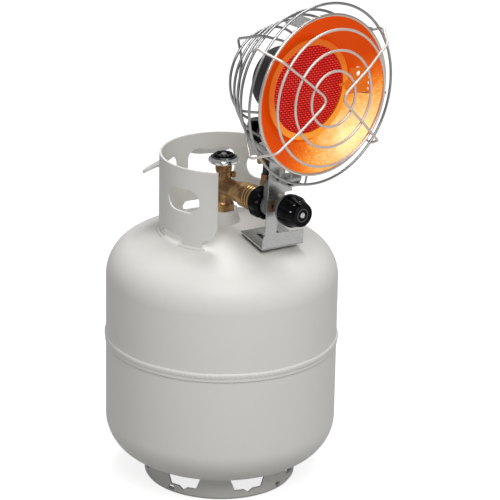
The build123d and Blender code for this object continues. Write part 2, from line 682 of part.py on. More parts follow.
def baffle_plate():
    """Perforated spreader inside the cup."""
    return head_turned([(-60, 0), (-60, 34), (-61, 34), (-61, 0)])


def thermocouple():
    """Bent perforated strip from the flange through the dish's window, with the probe in it."""
    strap = block((64, 93), (-24.2, -23), (-12, 22))
    lip = block((91.8, 93), (-23, -14), (-12, 22))
    for index in range(4):
        lip -= Pos(92.4, 18.5, 16 - index * 7.5) * Rot(0, 90, 0) * Cylinder(1.8, 6)
    strap -= Pos(78, 23.6, 14) * Rot(90, 0, 0) * Cylinder(3.2, 6)
    foot = block((60, 66), (-27.3, -23), (-6, 6))
    probe = rod_x(46, 91.9, 2.2, -21, 3)
    return at_head(strap + lip + foot + probe)


def thermocouple_lead():
    """Copper lead from the bowl round the burner to the safety valve."""
    points = [(x, -forward, z) for x, forward, z in LEAD_ROUTE]
    return wire(points, LEAD_BENDS, LEAD_R)


# ---------------------------------------------------------------- wire guard
def hoop(radius, ahead, thickness=WIRE_R):
    """Closed ring of eight-sided wire round the head's axis."""
    section = Pos(radius, -ahead) * RegularPolygon(thickness * 1.04, 8)
    return at_head(revolve(section, Axis.Y))


def guard_point(radius, ahead, angle):
    """Point of the guard from its radius, distance ahead of the rim and clock angle."""
    return (radius * cos(radians(angle)), -ahead, radius * sin(radians(angle)))


def on_leg(tip_x, elbow, radius, ahead):
    """Point of a hairpin's straight leg at a radius of the face."""
    run_x, run_z = elbow[0] - tip_x, elbow[2]
    run_squared = run_x ** 2 + run_z ** 2
    along = -tip_x * run_x
    share = (along + sqrt(along ** 2 + run_squared * (radius ** 2 - tip_x ** 2))) / run_squared
    return (tip_x + share * run_x, -ahead, share * run_z)


def hairpin(side, levels):
    """Wire from the basket over the front hoop to the middle of the face and back again."""
    flat = FACE_RINGS[0][1] + TOUCH
    outer_r, outer_ahead = FACE_RINGS[-1]
    apex = (side * 10.0, -flat, 0.0)
    legs = []
    for level in levels:
        angle = level if side > 0 else 180 - level
        elbow = guard_point(105.9, outer_ahead + TOUCH - 0.5, angle)
        legs.append([
            guard_point(102.4, -45.2, angle),
            guard_point(HOOP_R + 9.3, -11.3, angle),
            elbow,
            on_leg(apex[0], elbow, outer_r - 1, outer_ahead + TOUCH + 0.15),
            on_leg(apex[0], elbow, FACE_RINGS[1][0] + 2, flat),
        ])
    bends = [7, 7, 16, 16]
    return at_head(wire(legs[0] + [apex] + legs[1][::-1], bends + [16] + bends[::-1]))


def basket_wire(lower_leg, mirrored):
    """U wire: hooked over the rim, back along the hoops, and bowed across the rear."""
    points = []
    for radius, behind, angle in UPPER_LEG + (BOW,) + lower_leg[::-1]:
        points.append(guard_point(radius, -behind, 180 - angle if mirrored else angle))
    return at_head(wire(points, [20, 30, 8, 20, 8, 40, 30, 20]))


def basket_wires():
    left, right = basket_wire(INNER_LEG, False), basket_wire(OUTER_LEG, True)
    return Compound([left.solid(), right.solid()])


def front_hoop():
    """Large hoop with the short stays that join it to the bottom of the rim."""
    ring = hoop(HOOP_R, -HOOP_BACK)
    for angle in RIM_STAYS:
        stay = rod_x(RIM_R + 0.1, HOOP_R, WIRE_R * 0.8, -HOOP_BACK + 1.5, 0)
        ring += at_head(Rot(0, -angle, 0) * stay)
    return ring


def guard_tag():
    """Bare sheet tag fixed on the rim."""
    tag = block((-11, 11), (-26, -1), (-0.5, 0.5))
    return at_head(Rot(0, 90 - TAG_ANGLE, 0) * Pos(0, 0, RIM_R + 0.5) * tag)


def build():
    write(upper_shell(), "tank_upper_shell")
    write(lower_shell(), "tank_lower_shell")
    write(girth_weld(), "girth_weld")
    write(foot_ring(), "foot_ring")
    write(collar(), "collar")
    write(collar_welds(), "collar_welds")
    write(neck_boss(), "neck_boss")
    write(valve_body(), "valve_body")
    write(bonnet(), "valve_bonnet")
    write(relief_valve(), "relief_valve")
    write(bleeder_screw(), "bleeder_screw")
    write(dip_tube(), "dip_tube")
    write(float_bracket(), "float_bracket")
    write(float_arm(), "float_arm")
    write(overfill_float(), "overfill_float")
    write(handwheel(), "handwheel")
    write(wheel_insert(), "wheel_insert")
    write(spindle(), "valve_spindle")
    write_heater(coupling_nut(), "coupling_nut")
    write_heater(inlet_nipple(), "inlet_nipple")
    write_heater(inlet_seal(), "inlet_seal")
    write_heater(rear_manifold(), "rear_manifold")
    write_heater(regulator_body(), "regulator_body")
    write_heater(diaphragm(), "diaphragm")
    write_heater(regulator_spring(), "regulator_spring")
    write_heater(knob_shaft(), "knob_shaft")
    write_heater(control_knob(), "control_knob")
    write_heater(support_bracket(), "support_bracket")
    write_heater(foot_pad(), "foot_pad")
    write_heater(riser_elbow(), "riser_elbow")
    write_heater(gas_riser(), "gas_riser")
    write_heater(hinge_block(), "hinge_block")
    write_heater(tip_switch(), "tip_switch")
    write_heater(tilt_arm(), "tilt_arm")
    write_heater(hinge_bolt(), "hinge_bolt")
    write_heater(wing_nut(), "wing_nut")
    write_heater(valve_block(), "valve_block")
    write_heater(safety_button(), "safety_button")
    write_heater(orifice(), "orifice")
    write_heater(venturi_tube(), "venturi_tube")
    write_heater(reflector(), "reflector")
    write_heater(burner_cup(), "burner_cup")
    write_heater(burner_flange(), "burner_flange")
    write_heater(glow_screen(), "glow_screen")
    write_heater(inner_screen(), "inner_screen")
    write_heater(baffle_plate(), "baffle_plate")
    write_heater(thermocouple(), "thermocouple")
    write_heater(thermocouple_lead(), "thermocouple_lead")
    for index, (radius, ahead) in enumerate(FACE_RINGS):
        write_heater(hoop(radius, ahead), f"guard_face_ring_{index + 1}")
    write_heater(front_hoop(), "guard_front_hoop")
    for index, (radius, behind) in enumerate(BASKET):
        write_heater(hoop(radius, -behind), f"guard_rear_hoop_{index + 1}")
    write_heater(hairpin(-1, LEFT_SPOKES), "guard_hairpin_left")
    write_heater(hairpin(1, RIGHT_SPOKES), "guard_hairpin_right")
    write_heater(basket_wires(), "guard_basket_wires")
    write_heater(guard_tag(), "guard_tag")


build()
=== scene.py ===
# %% [markdown]
# # A tank-top propane heater
# The object is a white steel gas cylinder with a radiant heater screwed to its valve. Its rigid
# parts come packed as a frame. They could all be drawn again here, but then nothing would promise
# that they still fit each other. So every piece made here is worked out in metres in that frame,
# and a solid that already looks right only gets a finish.

# %% Load the frame
import bmesh
import bpy
import numpy as np
from math import cos, pi, radians, sin
from mathutils import Matrix, Vector


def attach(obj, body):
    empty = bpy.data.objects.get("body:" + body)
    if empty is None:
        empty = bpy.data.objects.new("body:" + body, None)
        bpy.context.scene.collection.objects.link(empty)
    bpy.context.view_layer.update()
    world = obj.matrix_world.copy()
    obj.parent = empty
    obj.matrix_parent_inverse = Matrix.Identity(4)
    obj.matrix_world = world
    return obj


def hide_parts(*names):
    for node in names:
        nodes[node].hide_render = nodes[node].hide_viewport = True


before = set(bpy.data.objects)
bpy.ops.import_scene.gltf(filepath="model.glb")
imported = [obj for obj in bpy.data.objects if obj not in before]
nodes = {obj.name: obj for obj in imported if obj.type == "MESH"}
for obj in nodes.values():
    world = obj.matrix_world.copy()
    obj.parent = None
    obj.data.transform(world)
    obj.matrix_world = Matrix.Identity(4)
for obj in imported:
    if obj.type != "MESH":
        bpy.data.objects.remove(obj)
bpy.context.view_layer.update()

# %% [markdown]
# ## Where things are
# The heater leans a few degrees on the valve's outlet, because its nut was tightened like that.
# Its pieces could be drawn leaning from the start, but upright sizes are the ones that a maker
# measures. So they are drawn upright and then turned about the outlet's axis. The head has its own
# axis, level and pointing forward (-Y), and a place on it is a radius, a clock angle and a distance
# ahead of the rim.

# %% Main sizes in metres
MM = 0.001
SHELL_R = 155 * MM
CROWN_R = 279 * MM
KNUCKLE_R = 52.7 * MM
LOWER_HEAD_Z = 87 * MM    # the straight wall runs from here
UPPER_HEAD_Z = 286 * MM   # to here
GIRTH_Z = 202 * MM
OUTLET_Z = 411 * MM       # height of the valve's level outlet
OUTLET_R = 16.6 * MM
LEAN = radians(4.2)
KNOB_X = 9.5 * MM
HEAD_Z = 581 * MM         # height of the rim's centre, before the lean
RIM_T = 181 * MM          # its distance ahead of the cylinder's axis
WIRE_R = 1.75 * MM
TURN = 2 * pi


def leaned(points):
    """Turn points about the level axis through the outlet: x and z mix by the lean's cosine and
    sine."""
    points = np.asarray(points, float)
    x, z = points[..., 0], points[..., 2] - OUTLET_Z
    out = points.copy()
    out[..., 0] = x * cos(LEAN) + z * sin(LEAN)
    out[..., 2] = OUTLET_Z - x * sin(LEAN) + z * cos(LEAN)
    return out


def in_head(x, ahead, z):
    """Point of the head from its distances right of, ahead of and above the rim's centre."""
    return leaned(np.stack(np.broadcast_arrays(x, -(RIM_T + ahead), HEAD_Z + z), -1))


def on_head(radius, ahead, angle):
    """Point of the head: radius and clock angle round its axis, distance ahead of the rim."""
    radius, ahead, angle = [np.asarray(value, float) for value in (radius, ahead, angle)]
    return in_head(radius * np.cos(angle), ahead, radius * np.sin(angle))


# %% [markdown]
# ## Surfaces from arrays
# A shape could be pushed and pulled out of a cube, or swept with the curve tools. Here nearly
# every piece is a grid of points over two parameters, because a formula gives exact sizes and even
# faces, and one number changes it. One function turns such a grid into a mesh: neighbouring points
# make a four-cornered face, and a direction that closes on itself wraps round to its first row.

# %% Grid to mesh
SHARP_EDGE = radians(40)


def shell_of(grid, wrap=(False, True)):
    """Points and four-cornered faces of a (rows, columns, 3) grid; wrap says which ways close."""
    rows, columns = grid.shape[:2]
    row = np.arange(rows if wrap[0] else rows - 1)[:, None]
    column = np.arange(columns if wrap[1] else columns - 1)[None, :]
    next_row, next_column = (row + 1) % rows, (column + 1) % columns
    faces = np.stack([row * columns + column, row * columns + next_column,
                      next_row * columns + next_column, next_row * columns + column], -1)
    return grid.reshape(-1, 3), faces.reshape(-1, 4)


def solid(name, shells, body, finish, stands_for=()):
    """One object from several (points, faces) shells, with doubles merged and faces outward."""
    points = np.concatenate([shell[0] for shell in shells])
    starts = np.cumsum([0] + [len(shell[0]) for shell in shells[:-1]])
    faces = np.concatenate([shell[1] + start for shell, start in zip(shells, starts)])
    mesh = bpy.data.meshes.new(name)
    mesh.from_pydata(points.tolist(), [], faces.tolist())
    work = bmesh.new()
    work.from_mesh(mesh)
    bmesh.ops.remove_doubles(work, verts=work.verts, dist=1e-6)
    bmesh.ops.dissolve_degenerate(work, edges=work.edges, dist=1e-7)
    bmesh.ops.recalc_face_normals(work, faces=work.faces)
    work.to_mesh(mesh)
    work.free()
    mesh.shade_smooth()
    mesh.set_sharp_from_angle(angle=SHARP_EDGE)
    mesh.materials.append(finish)
    obj = bpy.data.objects.new(name, mesh)
    bpy.context.scene.collection.objects.link(obj)
    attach(obj, body)
    if stands_for:
        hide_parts(*stands_for)
    print(name, len(mesh.polygons), "faces")
    return obj


def piece(name, grid, body, finish, stands_for=(), wrap=(False, True)):
    """One object from one grid."""
    return solid(name, [shell_of(grid, wrap)], body, finish, stands_for)


# %% [markdown]
# Real edges are never perfectly sharp. A Bevel modifier could round them on the finished mesh, but
# it fails where a wall is thin. So the profile is rounded before it is turned: each corner of a
# profile or a wire becomes a short quadratic Bezier curve whose middle control point is the corner.

# %% Soft corners
def soft(points, size, steps=5, closed=False):
    """Round the corners: (1-t)^2 A + 2t(1-t) C + t^2 B, with A and B a setback from corner C."""
    points = np.asarray(points, float)
    before, after = np.roll(points, 1, 0), np.roll(points, -1, 0)
    if not closed:
        before, after, core = before[1:-1], after[1:-1], points[1:-1]
    else:
        core = points
    size = np.broadcast_to(np.asarray(size, float), (len(core),))
    to_before, to_after = before - core, after - core
    length_before = np.linalg.norm(to_before, axis=1)
    length_after = np.linalg.norm(to_after, axis=1)
    setback = np.minimum(size, 0.45 * np.minimum(length_before, length_after))
    a = core + to_before * (setback / length_before)[:, None]
    b = core + to_after * (setback / length_after)[:, None]
    t = np.linspace(0, 1, steps)[None, :, None]
    curve = (1 - t) ** 2 * a[:, None] + 2 * t * (1 - t) * core[:, None] + t ** 2 * b[:, None]
    curve = curve.reshape(-1, points.shape[1])
    return curve if closed else np.concatenate([points[:1], curve, points[-1:]])


# %% [markdown]
# Most metal parts of the object are turned on a lathe, drawn from round blanks or bent from wire.
# The Spin tool and bevelled curves could make them. These functions do the same to whole arrays, so
# that a second formula can change the radius on the way, as grooves and lobes need.

# %% Lathes and tubes
def turned_up(profile, segments=128, flute=None):
    """Lathe about +Z: each (radius, height) point becomes a circle; flute changes the radius."""
    angle = np.linspace(0, TURN, segments, endpoint=False)[None, :]
    radius, height = np.asarray(profile).T[:, :, None]
    if flute is not None:
        radius = flute(height, radius, angle)
    return np.stack([radius * np.cos(angle), radius * np.sin(angle), height + 0 * angle], -1)


def turned_forward(profile, x=0.0, z=0.0, segments=96, flute=None):
    """Lathe about a level axis: (forward, radius) points; flute may change the radius by angle."""
    angle = np.linspace(0, TURN, segments, endpoint=False)[None, :]
    forward, radius = np.asarray(profile).T[:, :, None]
    if flute is not None:
        radius = flute(forward, radius, angle)
    upright = np.stack([x + radius * np.cos(angle), -forward + 0 * angle,
                        z + radius * np.sin(angle)], -1)
    return leaned(upright)


def on_head_turned(profile, segments=128):
    """Lathe about the head's axis from (ahead of the rim, radius) points."""
    angle = np.linspace(0, TURN, segments, endpoint=False)[None, :]
    ahead, radius = np.asarray(profile).T[:, :, None]
    return on_head(radius, ahead, angle)


def tube(path, radius, sides=16, closed=False):
    """Round tube: at each path point, a circle in the plane across the path. The circle's first
    direction is square to the direction that the whole path runs along least."""
    path = np.asarray(path, float)
    if closed:
        along = np.roll(path, -1, 0) - np.roll(path, 1, 0)
    else:
        along = np.gradient(path, axis=0)
    along /= np.linalg.norm(along, axis=1)[:, None]
    least = np.linalg.eigh(along.T @ along)[1][:, 0]
    across = np.cross(along, least)
    across /= np.linalg.norm(across, axis=1)[:, None]
    upward = np.cross(along, across)
    angle = np.linspace(0, TURN, sides, endpoint=False)[None, :, None]
    ring = np.cos(angle) * across[:, None] + np.sin(angle) * upward[:, None]
    grid = path[:, None] + radius * ring
    if closed:
        return grid
    caps = [np.repeat(end[None, None], sides, 1) for end in (path[0], path[-1])]
    return np.concatenate([caps[0], grid, caps[1]])


# %% [markdown]
# ## Shader maths
# Nodes could be added and linked one by one, which takes a page for a single pattern. Instead
# patterns are written as expressions. A small class wraps a socket, and each operator adds the Math
# node of that name, so `1 - mask * 0.3` builds two nodes by itself.

# %% Expressions that build nodes
class Number:
    """A value that changes over the surface."""

    def __init__(self, finish, socket):
        self.finish, self.socket = finish, socket

    def maths(self, operation, *others):
        """Math node of this operation on the number and any others."""
        return self.finish.node("ShaderNodeMath", {"operation": operation}, [self, *others])

    def __add__(self, other):
        return self.maths("ADD", other)

    def __sub__(self, other):
        return self.maths("SUBTRACT", other)

    def __rsub__(self, other):
        return self.finish.node("ShaderNodeMath", {"operation": "SUBTRACT"}, [other, self])

    def __mul__(self, other):
        return self.maths("MULTIPLY", other)

    def __pow__(self, other):
        return self.maths("POWER", other)

    __radd__, __rmul__ = __add__, __mul__


# %% [markdown]
# A finish is one Principled shader and the nodes that feed it. A function per node type could be
# written, but one method that takes a node's type, its settings and its values serves them all. The
# few patterns that every finish needs, such as noise and soft steps, are short methods on top.

# %% A finish and its nodes
class Finish:
    """A material with one Principled shader, built from expressions."""

    def __init__(self, name, **constants):
        self.material = bpy.data.materials.new(name)
        self.material.use_nodes = True
        self.tree = self.material.node_tree
        self.shader = self.tree.nodes["Principled BSDF"]
        for socket, value in constants.items():
            self.shader.inputs[socket.replace("_", " ")].default_value = value
        self.place = self.node("ShaderNodeTexCoord", {}, [], "Object")

    def node(self, kind, settings, values, output=0):
        """Any node: its settings first, then a value or link for each input (a dict or a list)."""
        new = self.tree.nodes.new(kind)
        stops = settings.pop("stops", None)
        for key, value in settings.items():
            setattr(new, key, value)
        if stops:
            ramp = new.color_ramp.elements
            while len(ramp) < len(stops):
                ramp.new(0.5)
            for element, (position, colour) in zip(ramp, stops):
                element.position = position
                element.color = (*colour, 1)
        pairs = values.items() if isinstance(values, dict) else enumerate(values)
        for key, value in pairs:
            if isinstance(value, Number):
                self.tree.links.new(value.socket, new.inputs[key])
            elif value is not None:
                new.inputs[key].default_value = value
        return Number(self, new.outputs[output])

    def noise(self, scale, detail=3.0, place=None, distortion=0.0):
        """Cloudy number between 0 and 1; scale counts its lumps in a metre."""
        return self.node("ShaderNodeTexNoise", {}, {
            "Vector": place or self.place, "Scale": scale, "Detail": detail,
            "Distortion": distortion})

    def moved(self, location=(0, 0, 0), scale=(1, 1, 1)):
        """Mapping node: centre or stretch the pattern's own coordinates."""
        return self.node("ShaderNodeMapping", {"vector_type": "POINT"}, {
            "Vector": self.place, "Location": location, "Scale": scale})

    def axes(self, place=None):
        """The three coordinates as separate numbers."""
        split = self.tree.nodes.new("ShaderNodeSeparateXYZ")
        self.tree.links.new((place or self.place).socket, split.inputs[0])
        return [Number(self, out) for out in split.outputs]

    def ramp(self, value, *stops):
        """Colour read from (position, colour) stops."""
        return self.node("ShaderNodeValToRGB", {"stops": stops}, [value])

    def steps(self, value, low, high, start=0.0, end=1.0):
        """Smooth change from start to end as the value goes from low to high."""
        return self.node("ShaderNodeMapRange", {"interpolation_type": "SMOOTHSTEP"},
                         [value, low, high, start, end])

    def mix(self, share, a, b):
        """Mix two colours by a share."""
        return self.node("ShaderNodeMix", {"data_type": "RGBA"}, {0: share, 6: a, 7: b}, 2)

    def feed(self, **links):
        """Link expressions to the shader's sockets."""
        for socket, value in links.items():
            self.tree.links.new(value.socket, self.shader.inputs[socket.replace("_", " ")])

    def bump(self, height, distance, strength):
        """Small relief: height in shares of the distance in metres."""
        self.feed(Normal=self.node("ShaderNodeBump", {}, {
            "Strength": strength, "Distance": distance, "Height": height}))


def dress(finish, *names):
    """Give CAD nodes that already have the right shape their finish."""
    for name in names:
        mesh = nodes[name].data
        mesh.materials.clear()
        mesh.materials.append(finish)


# %% [markdown]
# ## White enamel
# The cylinder is powder coated. Up close such a coat has a faint orange-peel relief and small
# differences of tone, and it is slightly glossy. A flat texture of paint could be wrapped round it,
# but its seams would show. Noise on Object coordinates has no seam, and its grain is the same size
# on every piece.

# %% White enamel
def make_enamel():
    finish = Finish("white_enamel", Base_Color=(0.72, 0.71, 0.68, 1), Roughness=0.4,
                    Specular_IOR_Level=0.3)
    specks = finish.noise(900.0, 2.0)
    tone = finish.noise(14.0, 4.0) * 0.6 + finish.noise(130.0, 2.0) * 0.4
    finish.feed(Base_Color=finish.mix(tone, (0.70, 0.685, 0.65, 1), (0.74, 0.73, 0.70, 1)),
                Roughness=0.36 + 0.10 * finish.noise(40.0))
    finish.bump(specks * 0.5 + finish.noise(220.0, 2.0), 0.25 * MM, 0.35)
    return finish.material


enamel = make_enamel()

# %% [markdown]
# ## Brass, bright metals and castings
# Brass gets darker patches with handling. Chrome is nearly a mirror. Zinc-plated sheet shows the
# rolling direction as fine streaks. A casting is grainy. Each could have a node tree drawn by hand,
# but they are one shader with other numbers, so each is a short function of colour and polish.

# %% Brass
def make_brass():
    """Brass with brown stains where slow noise is high."""
    finish = Finish("valve_brass", Metallic=0.85, Roughness=0.4)
    stain = finish.steps(finish.noise(60.0, 4.0), 0.40, 0.66)
    finish.feed(Base_Color=finish.mix(stain, (0.27, 0.145, 0.065, 1), (0.60, 0.38, 0.17, 1)),
                Roughness=0.20 + 0.30 * finish.noise(120.0))
    finish.bump(finish.noise(500.0), 0.3 * MM, 0.5)
    return finish.material


# %% Plated wire and steel
def make_plated(name, colour, low, high, scale=90.0, metal=1.0):
    """Bright plated metal with a little uneven polish."""
    finish = Finish(name, Base_Color=(*colour, 1), Metallic=metal, Roughness=low)
    dull = finish.noise(scale)
    darker = tuple(0.86 * c for c in colour) + (1,)
    finish.feed(Roughness=low + (high - low) * dull,
                Base_Color=finish.mix(dull, darker, (*colour, 1)))
    return finish.material


# %% Handwheel chrome
# Limits of the painted dark reflection on the handwheel's rim.
WHEEL_DARK_REFLECTION_R, WHEEL_DARK_REFLECTION_Z = 17.5 * MM, 449 * MM


def make_wheel_chrome():
    """Chrome on the outer band; inside it and above it a painted dark reflection makes it black,
    where the distance from the axis is under one limit and the height is over the other."""
    finish = Finish("wheel_chrome", Metallic=1.0, Roughness=0.1)
    x, y, z = finish.axes()
    across = (x * x + y * y) ** 0.5
    # Painted dark reflection: the inner part of the rim is near black and not metallic, not chrome.
    painted_dark_reflection = finish.steps(across, WHEEL_DARK_REFLECTION_R + 0.3 * MM, WHEEL_DARK_REFLECTION_R - 0.3 * MM)
    painted_dark_reflection = painted_dark_reflection * finish.steps(z, WHEEL_DARK_REFLECTION_Z - 0.5 * MM, WHEEL_DARK_REFLECTION_Z + 0.5 * MM)
    finish.feed(Base_Color=finish.mix(painted_dark_reflection, (0.80, 0.81, 0.83, 1), (0.015, 0.015, 0.016, 1)),
                Metallic=1 - painted_dark_reflection, Roughness=0.07 + 0.10 * painted_dark_reflection)
    return finish.material


# %% Zinc sheet and castings
def make_zinc_sheet(name, dark, light):
    """Rolled sheet: noise stretched along X, plus blotches of zinc."""
    finish = Finish(name, Metallic=1.0, Roughness=0.35)
    streaks = finish.noise(1.0, 4.0, finish.moved(scale=(60.0, 900.0, 900.0)))
    blotch = finish.noise(45.0)
    finish.feed(Base_Color=finish.mix(streaks * 0.6 + blotch * 0.4, (dark, dark, dark, 1),
                                      (light, light, 0.98 * light, 1)),
                Roughness=0.18 + 0.22 * streaks)
    finish.bump(streaks, 0.12 * MM, 0.5)
    return finish.material


def make_casting(name, colour, metallic):
    """Cast or painted surface with a sandy grain."""
    finish = Finish(name, Base_Color=(*colour, 1), Metallic=metallic, Roughness=0.5)
    grain = finish.noise(700.0)
    finish.feed(Roughness=0.42 + 0.2 * grain,
                Base_Color=finish.mix(grain, tuple(0.75 * c for c in colour) + (1,), (*colour, 1)))
    finish.bump(grain, 0.3 * MM, 0.6)
    return finish.material


brass = make_brass()
chrome = make_wheel_chrome()
wire_plate = make_plated("guard_wire", (0.44, 0.44, 0.44), 0.28, 0.36, 25.0)
# The wires in front of the face are the same plated wire, lighter and pinker with painted glow from
# the screen.
face_wire_painted_glow = make_plated("face_wire_painted_glow", (0.78, 0.70, 0.65), 0.34, 0.42, 25.0, 0.6)
bright_steel = make_plated("bright_steel", (0.50, 0.50, 0.49), 0.2, 0.4)
zinc_sheet = make_zinc_sheet("zinc_sheet", 0.42, 0.72)
tag_plate = make_plated("tag_plate", (0.40, 0.40, 0.40), 0.30, 0.42, 60.0)
cast_grey = make_casting("cast_grey", (0.30, 0.30, 0.30), 0.8)
black_casting = make_casting("black_casting", (0.018, 0.018, 0.018), 0.0)

# %% [markdown]
# ## Black mouldings and rubber
# Moulded plastic has a fine spark-eroded grain and a soft sheen, and rubber is duller. A grain
# finer than a pixel could be left out, but it breaks up the mirror images of the lamps, so all of
# them share one function that says the size of the grain and the strength of the sheen.

# %% Plastics
def make_moulded(name, colour, rough, grain_size, shine=0.5):
    """Moulded plastic or rubber: fine grain in colour and relief, slow patches of polish."""
    finish = Finish(name, Base_Color=(*colour, 1), Roughness=rough, Specular_IOR_Level=shine)
    grain = finish.noise(grain_size, 2.0)
    finish.feed(Roughness=rough - 0.06 + 0.16 * finish.noise(80.0),
                Base_Color=finish.mix(grain, tuple(0.8 * c for c in colour) + (1,), (*colour, 1)))
    finish.bump(grain, 0.15 * MM, 0.5)
    return finish.material


black_plastic = make_moulded("black_plastic", (0.003, 0.003, 0.004), 0.15, 1200.0, 0.1)
rubber = make_moulded("pad_rubber", (0.02, 0.02, 0.02), 0.7, 600.0)
pale_dot = make_moulded("pale_dot", (0.80, 0.80, 0.78), 0.3, 900.0)
ring_grey = make_moulded("ring_grey", (0.10, 0.10, 0.11), 0.3, 900.0)
float_plastic = make_moulded("float_plastic", (0.10, 0.10, 0.10), 0.6, 500.0)
copper = make_plated("bare_copper", (0.72, 0.38, 0.22), 0.25, 0.45)
print("finishes:", len(bpy.data.materials))

# %% [markdown]
# ## Floor, light and camera
# The object stands on a white studio floor. Lamps alone could make the floor white, but they would
# bleach the cylinder too. So the floor is grey and glows by itself: fully towards the camera, and
# less in mirrors, where a bright floor would wash out the black pieces. It still takes the object's
# shadow. The world round it is white to the camera and grey as a light.

# %% Stage
FLOOR_HALF = 6.0
FLOOR_GLOW_SEEN, FLOOR_GLOW_MIRRORED = 0.80, 0.30
WORLD_LIGHT = 0.30


def make_floor():
    """Flat square with a glow that depends on the kind of ray that looks at it."""
    half = FLOOR_HALF
    sweep = bpy.data.meshes.new("floor")
    sweep.from_pydata([(-half, -half, 0), (half, -half, 0), (half, half, 0), (-half, half, 0)],
                      [], [(0, 1, 2, 3)])
    floor = bpy.data.objects.new("floor", sweep)
    bpy.context.scene.collection.objects.link(floor)
    paper = Finish("floor_paper", Base_Color=(0.40, 0.40, 0.40, 1), Roughness=0.9)
    ray = paper.tree.nodes.new("ShaderNodeLightPath")
    seen = Number(paper, ray.outputs["Is Camera Ray"])
    mirrored = Number(paper, ray.outputs["Is Glossy Ray"])
    through = Number(paper, ray.outputs["Is Transmission Ray"])
    paper.shader.inputs["Emission Color"].default_value = (1, 1, 1, 1)
    glow = seen * FLOOR_GLOW_SEEN + mirrored.maths("MAXIMUM", through) * FLOOR_GLOW_MIRRORED
    paper.tree.links.new(glow.socket, paper.shader.inputs["Emission Strength"])
    sweep.materials.append(paper.material)


def make_world():
    """Even background: white where the camera sees it, dimmer where it lights the object."""
    world = bpy.data.worlds.new("studio")
    bpy.context.scene.world = world
    world.use_nodes = True
    tree = world.node_tree
    sky = tree.nodes["Background"]
    sky.inputs["Color"].default_value = (1, 1, 1, 1)
    ray = tree.nodes.new("ShaderNodeLightPath")
    sight = tree.nodes.new("ShaderNodeMath")
    sight.operation = "MAXIMUM"
    tree.links.new(ray.outputs["Is Camera Ray"], sight.inputs[0])
    tree.links.new(ray.outputs["Is Transmission Ray"], sight.inputs[1])
    level = tree.nodes.new("ShaderNodeMapRange")
    level.inputs["To Min"].default_value = WORLD_LIGHT
    level.inputs["To Max"].default_value = 1.0
    tree.links.new(sight.outputs[0], level.inputs["Value"])
    tree.links.new(level.outputs[0], sky.inputs["Strength"])


make_floor()
make_world()

# %% [markdown]
# Two lamps are enough. A wide one in front on the left shapes the cylinder without hard edges, and
# a smaller one high behind draws a bright line on the shoulders. More lamps would add highlights to
# the wires that no real room gives.

# %% Lamps
def lamp(name, place, aim, size, power):
    """Soft rectangular lamp that points at a place on the object."""
    data = bpy.data.lights.new(name, "AREA")
    data.shape = "RECTANGLE"
    data.size, data.size_y = size
    data.energy = power
    obj = bpy.data.objects.new(name, data)
    obj.location = place
    obj.rotation_euler = (Vector(aim) - Vector(place)).to_track_quat("-Z", "Y").to_euler()
    bpy.context.scene.collection.objects.link(obj)


lamp("key", place=(-0.87, -1.79, 2.72), aim=(0, 0, 0.35), size=(2.2, 2.2), power=76)
lamp("back", place=(0.80, 0.75, 3.20), aim=(0, 0, 0.40), size=(1.4, 1.0), power=42)

# %% [markdown]
# The camera stands far off with a long lens, so that the cylinder's sides stay nearly parallel. It
# could be parented to a target; its three directions are worked out here instead, which also gives
# the slight roll.

# %% Camera
CAMERA_AIM = Vector((0.0281, -0.0236, 0.3197))
CAMERA_DISTANCE = 4.004
CAMERA_AZIMUTH, CAMERA_ELEVATION, CAMERA_ROLL = radians(-40), radians(21.04), radians(1.06)
SENSOR_WIDTH, LENS = 36.0, 216.5


def make_camera():
    """Directions from azimuth and elevation: back from the aim, level across it, and their cross
    product; the roll mixes the last two by its cosine and sine."""
    azimuth, elevation, roll = CAMERA_AZIMUTH, CAMERA_ELEVATION, CAMERA_ROLL
    back = Vector((sin(azimuth) * cos(elevation), -cos(azimuth) * cos(elevation), sin(elevation)))
    level = Vector((cos(azimuth), sin(azimuth), 0))
    upward = back.cross(level)
    right = level * cos(roll) + upward * sin(roll)
    upward = upward * cos(roll) - level * sin(roll)
    data = bpy.data.cameras.new("camera")
    data.sensor_width, data.lens = SENSOR_WIDTH, LENS
    camera = bpy.data.objects.new("camera", data)
    turn = Matrix((right, upward, back)).transposed().to_4x4()
    camera.matrix_world = Matrix.Translation(CAMERA_AIM + back * CAMERA_DISTANCE) @ turn
    bpy.context.scene.collection.objects.link(camera)
    bpy.context.scene.camera = camera


make_camera()
bpy.context.scene.view_settings.view_transform = "Standard"

# %% [markdown]
# ## The cylinder
# Two drawn halves meet at the girth weld. A squashed sphere would be quick, but its shoulder would
# be too soft: a real head is a crown, part of a large sphere, that runs into a knuckle, part of a
# torus. So the profile is two arcs and a line, carried round the axis.

# %% Shell halves
SHELL_WALL = 2.6 * MM
NECK_HOLE_R = 20 * MM
CROWN_DROP = float(np.sqrt((CROWN_R - KNUCKLE_R) ** 2 - (SHELL_R - KNUCKLE_R) ** 2))


def head_profile(inset=0.0):
    """Knuckle and crown arcs as (radius, height above the straight wall): each point is its arc's
    centre plus its arc's radius times the cosine and sine of an even run of angles."""
    split = np.arctan2(CROWN_DROP, SHELL_R - KNUCKLE_R)
    knuckle = np.linspace(0, split, 24)
    crown = np.linspace(split, pi / 2, 48)[1:]
    return np.concatenate([
        np.stack([SHELL_R - KNUCKLE_R + (KNUCKLE_R - inset) * np.cos(knuckle),
                  (KNUCKLE_R - inset) * np.sin(knuckle)], -1),
        np.stack([(CROWN_R - inset) * np.cos(crown),
                  (CROWN_R - inset) * np.sin(crown) - CROWN_DROP], -1)])


def shell_half(wall, inner_r):
    """Closed section of one half: outside up to the hole, and back down inside."""
    outside, inside = head_profile(), head_profile(SHELL_WALL)
    outside[:, 1] += wall
    inside[:, 1] += wall
    outside[-1, 0], inside[-1, 0] = inner_r, inner_r
    return np.concatenate([[[SHELL_R, 0]], outside, inside[::-1], [[SHELL_R - SHELL_WALL, 0]],
                           [[SHELL_R, 0]]])


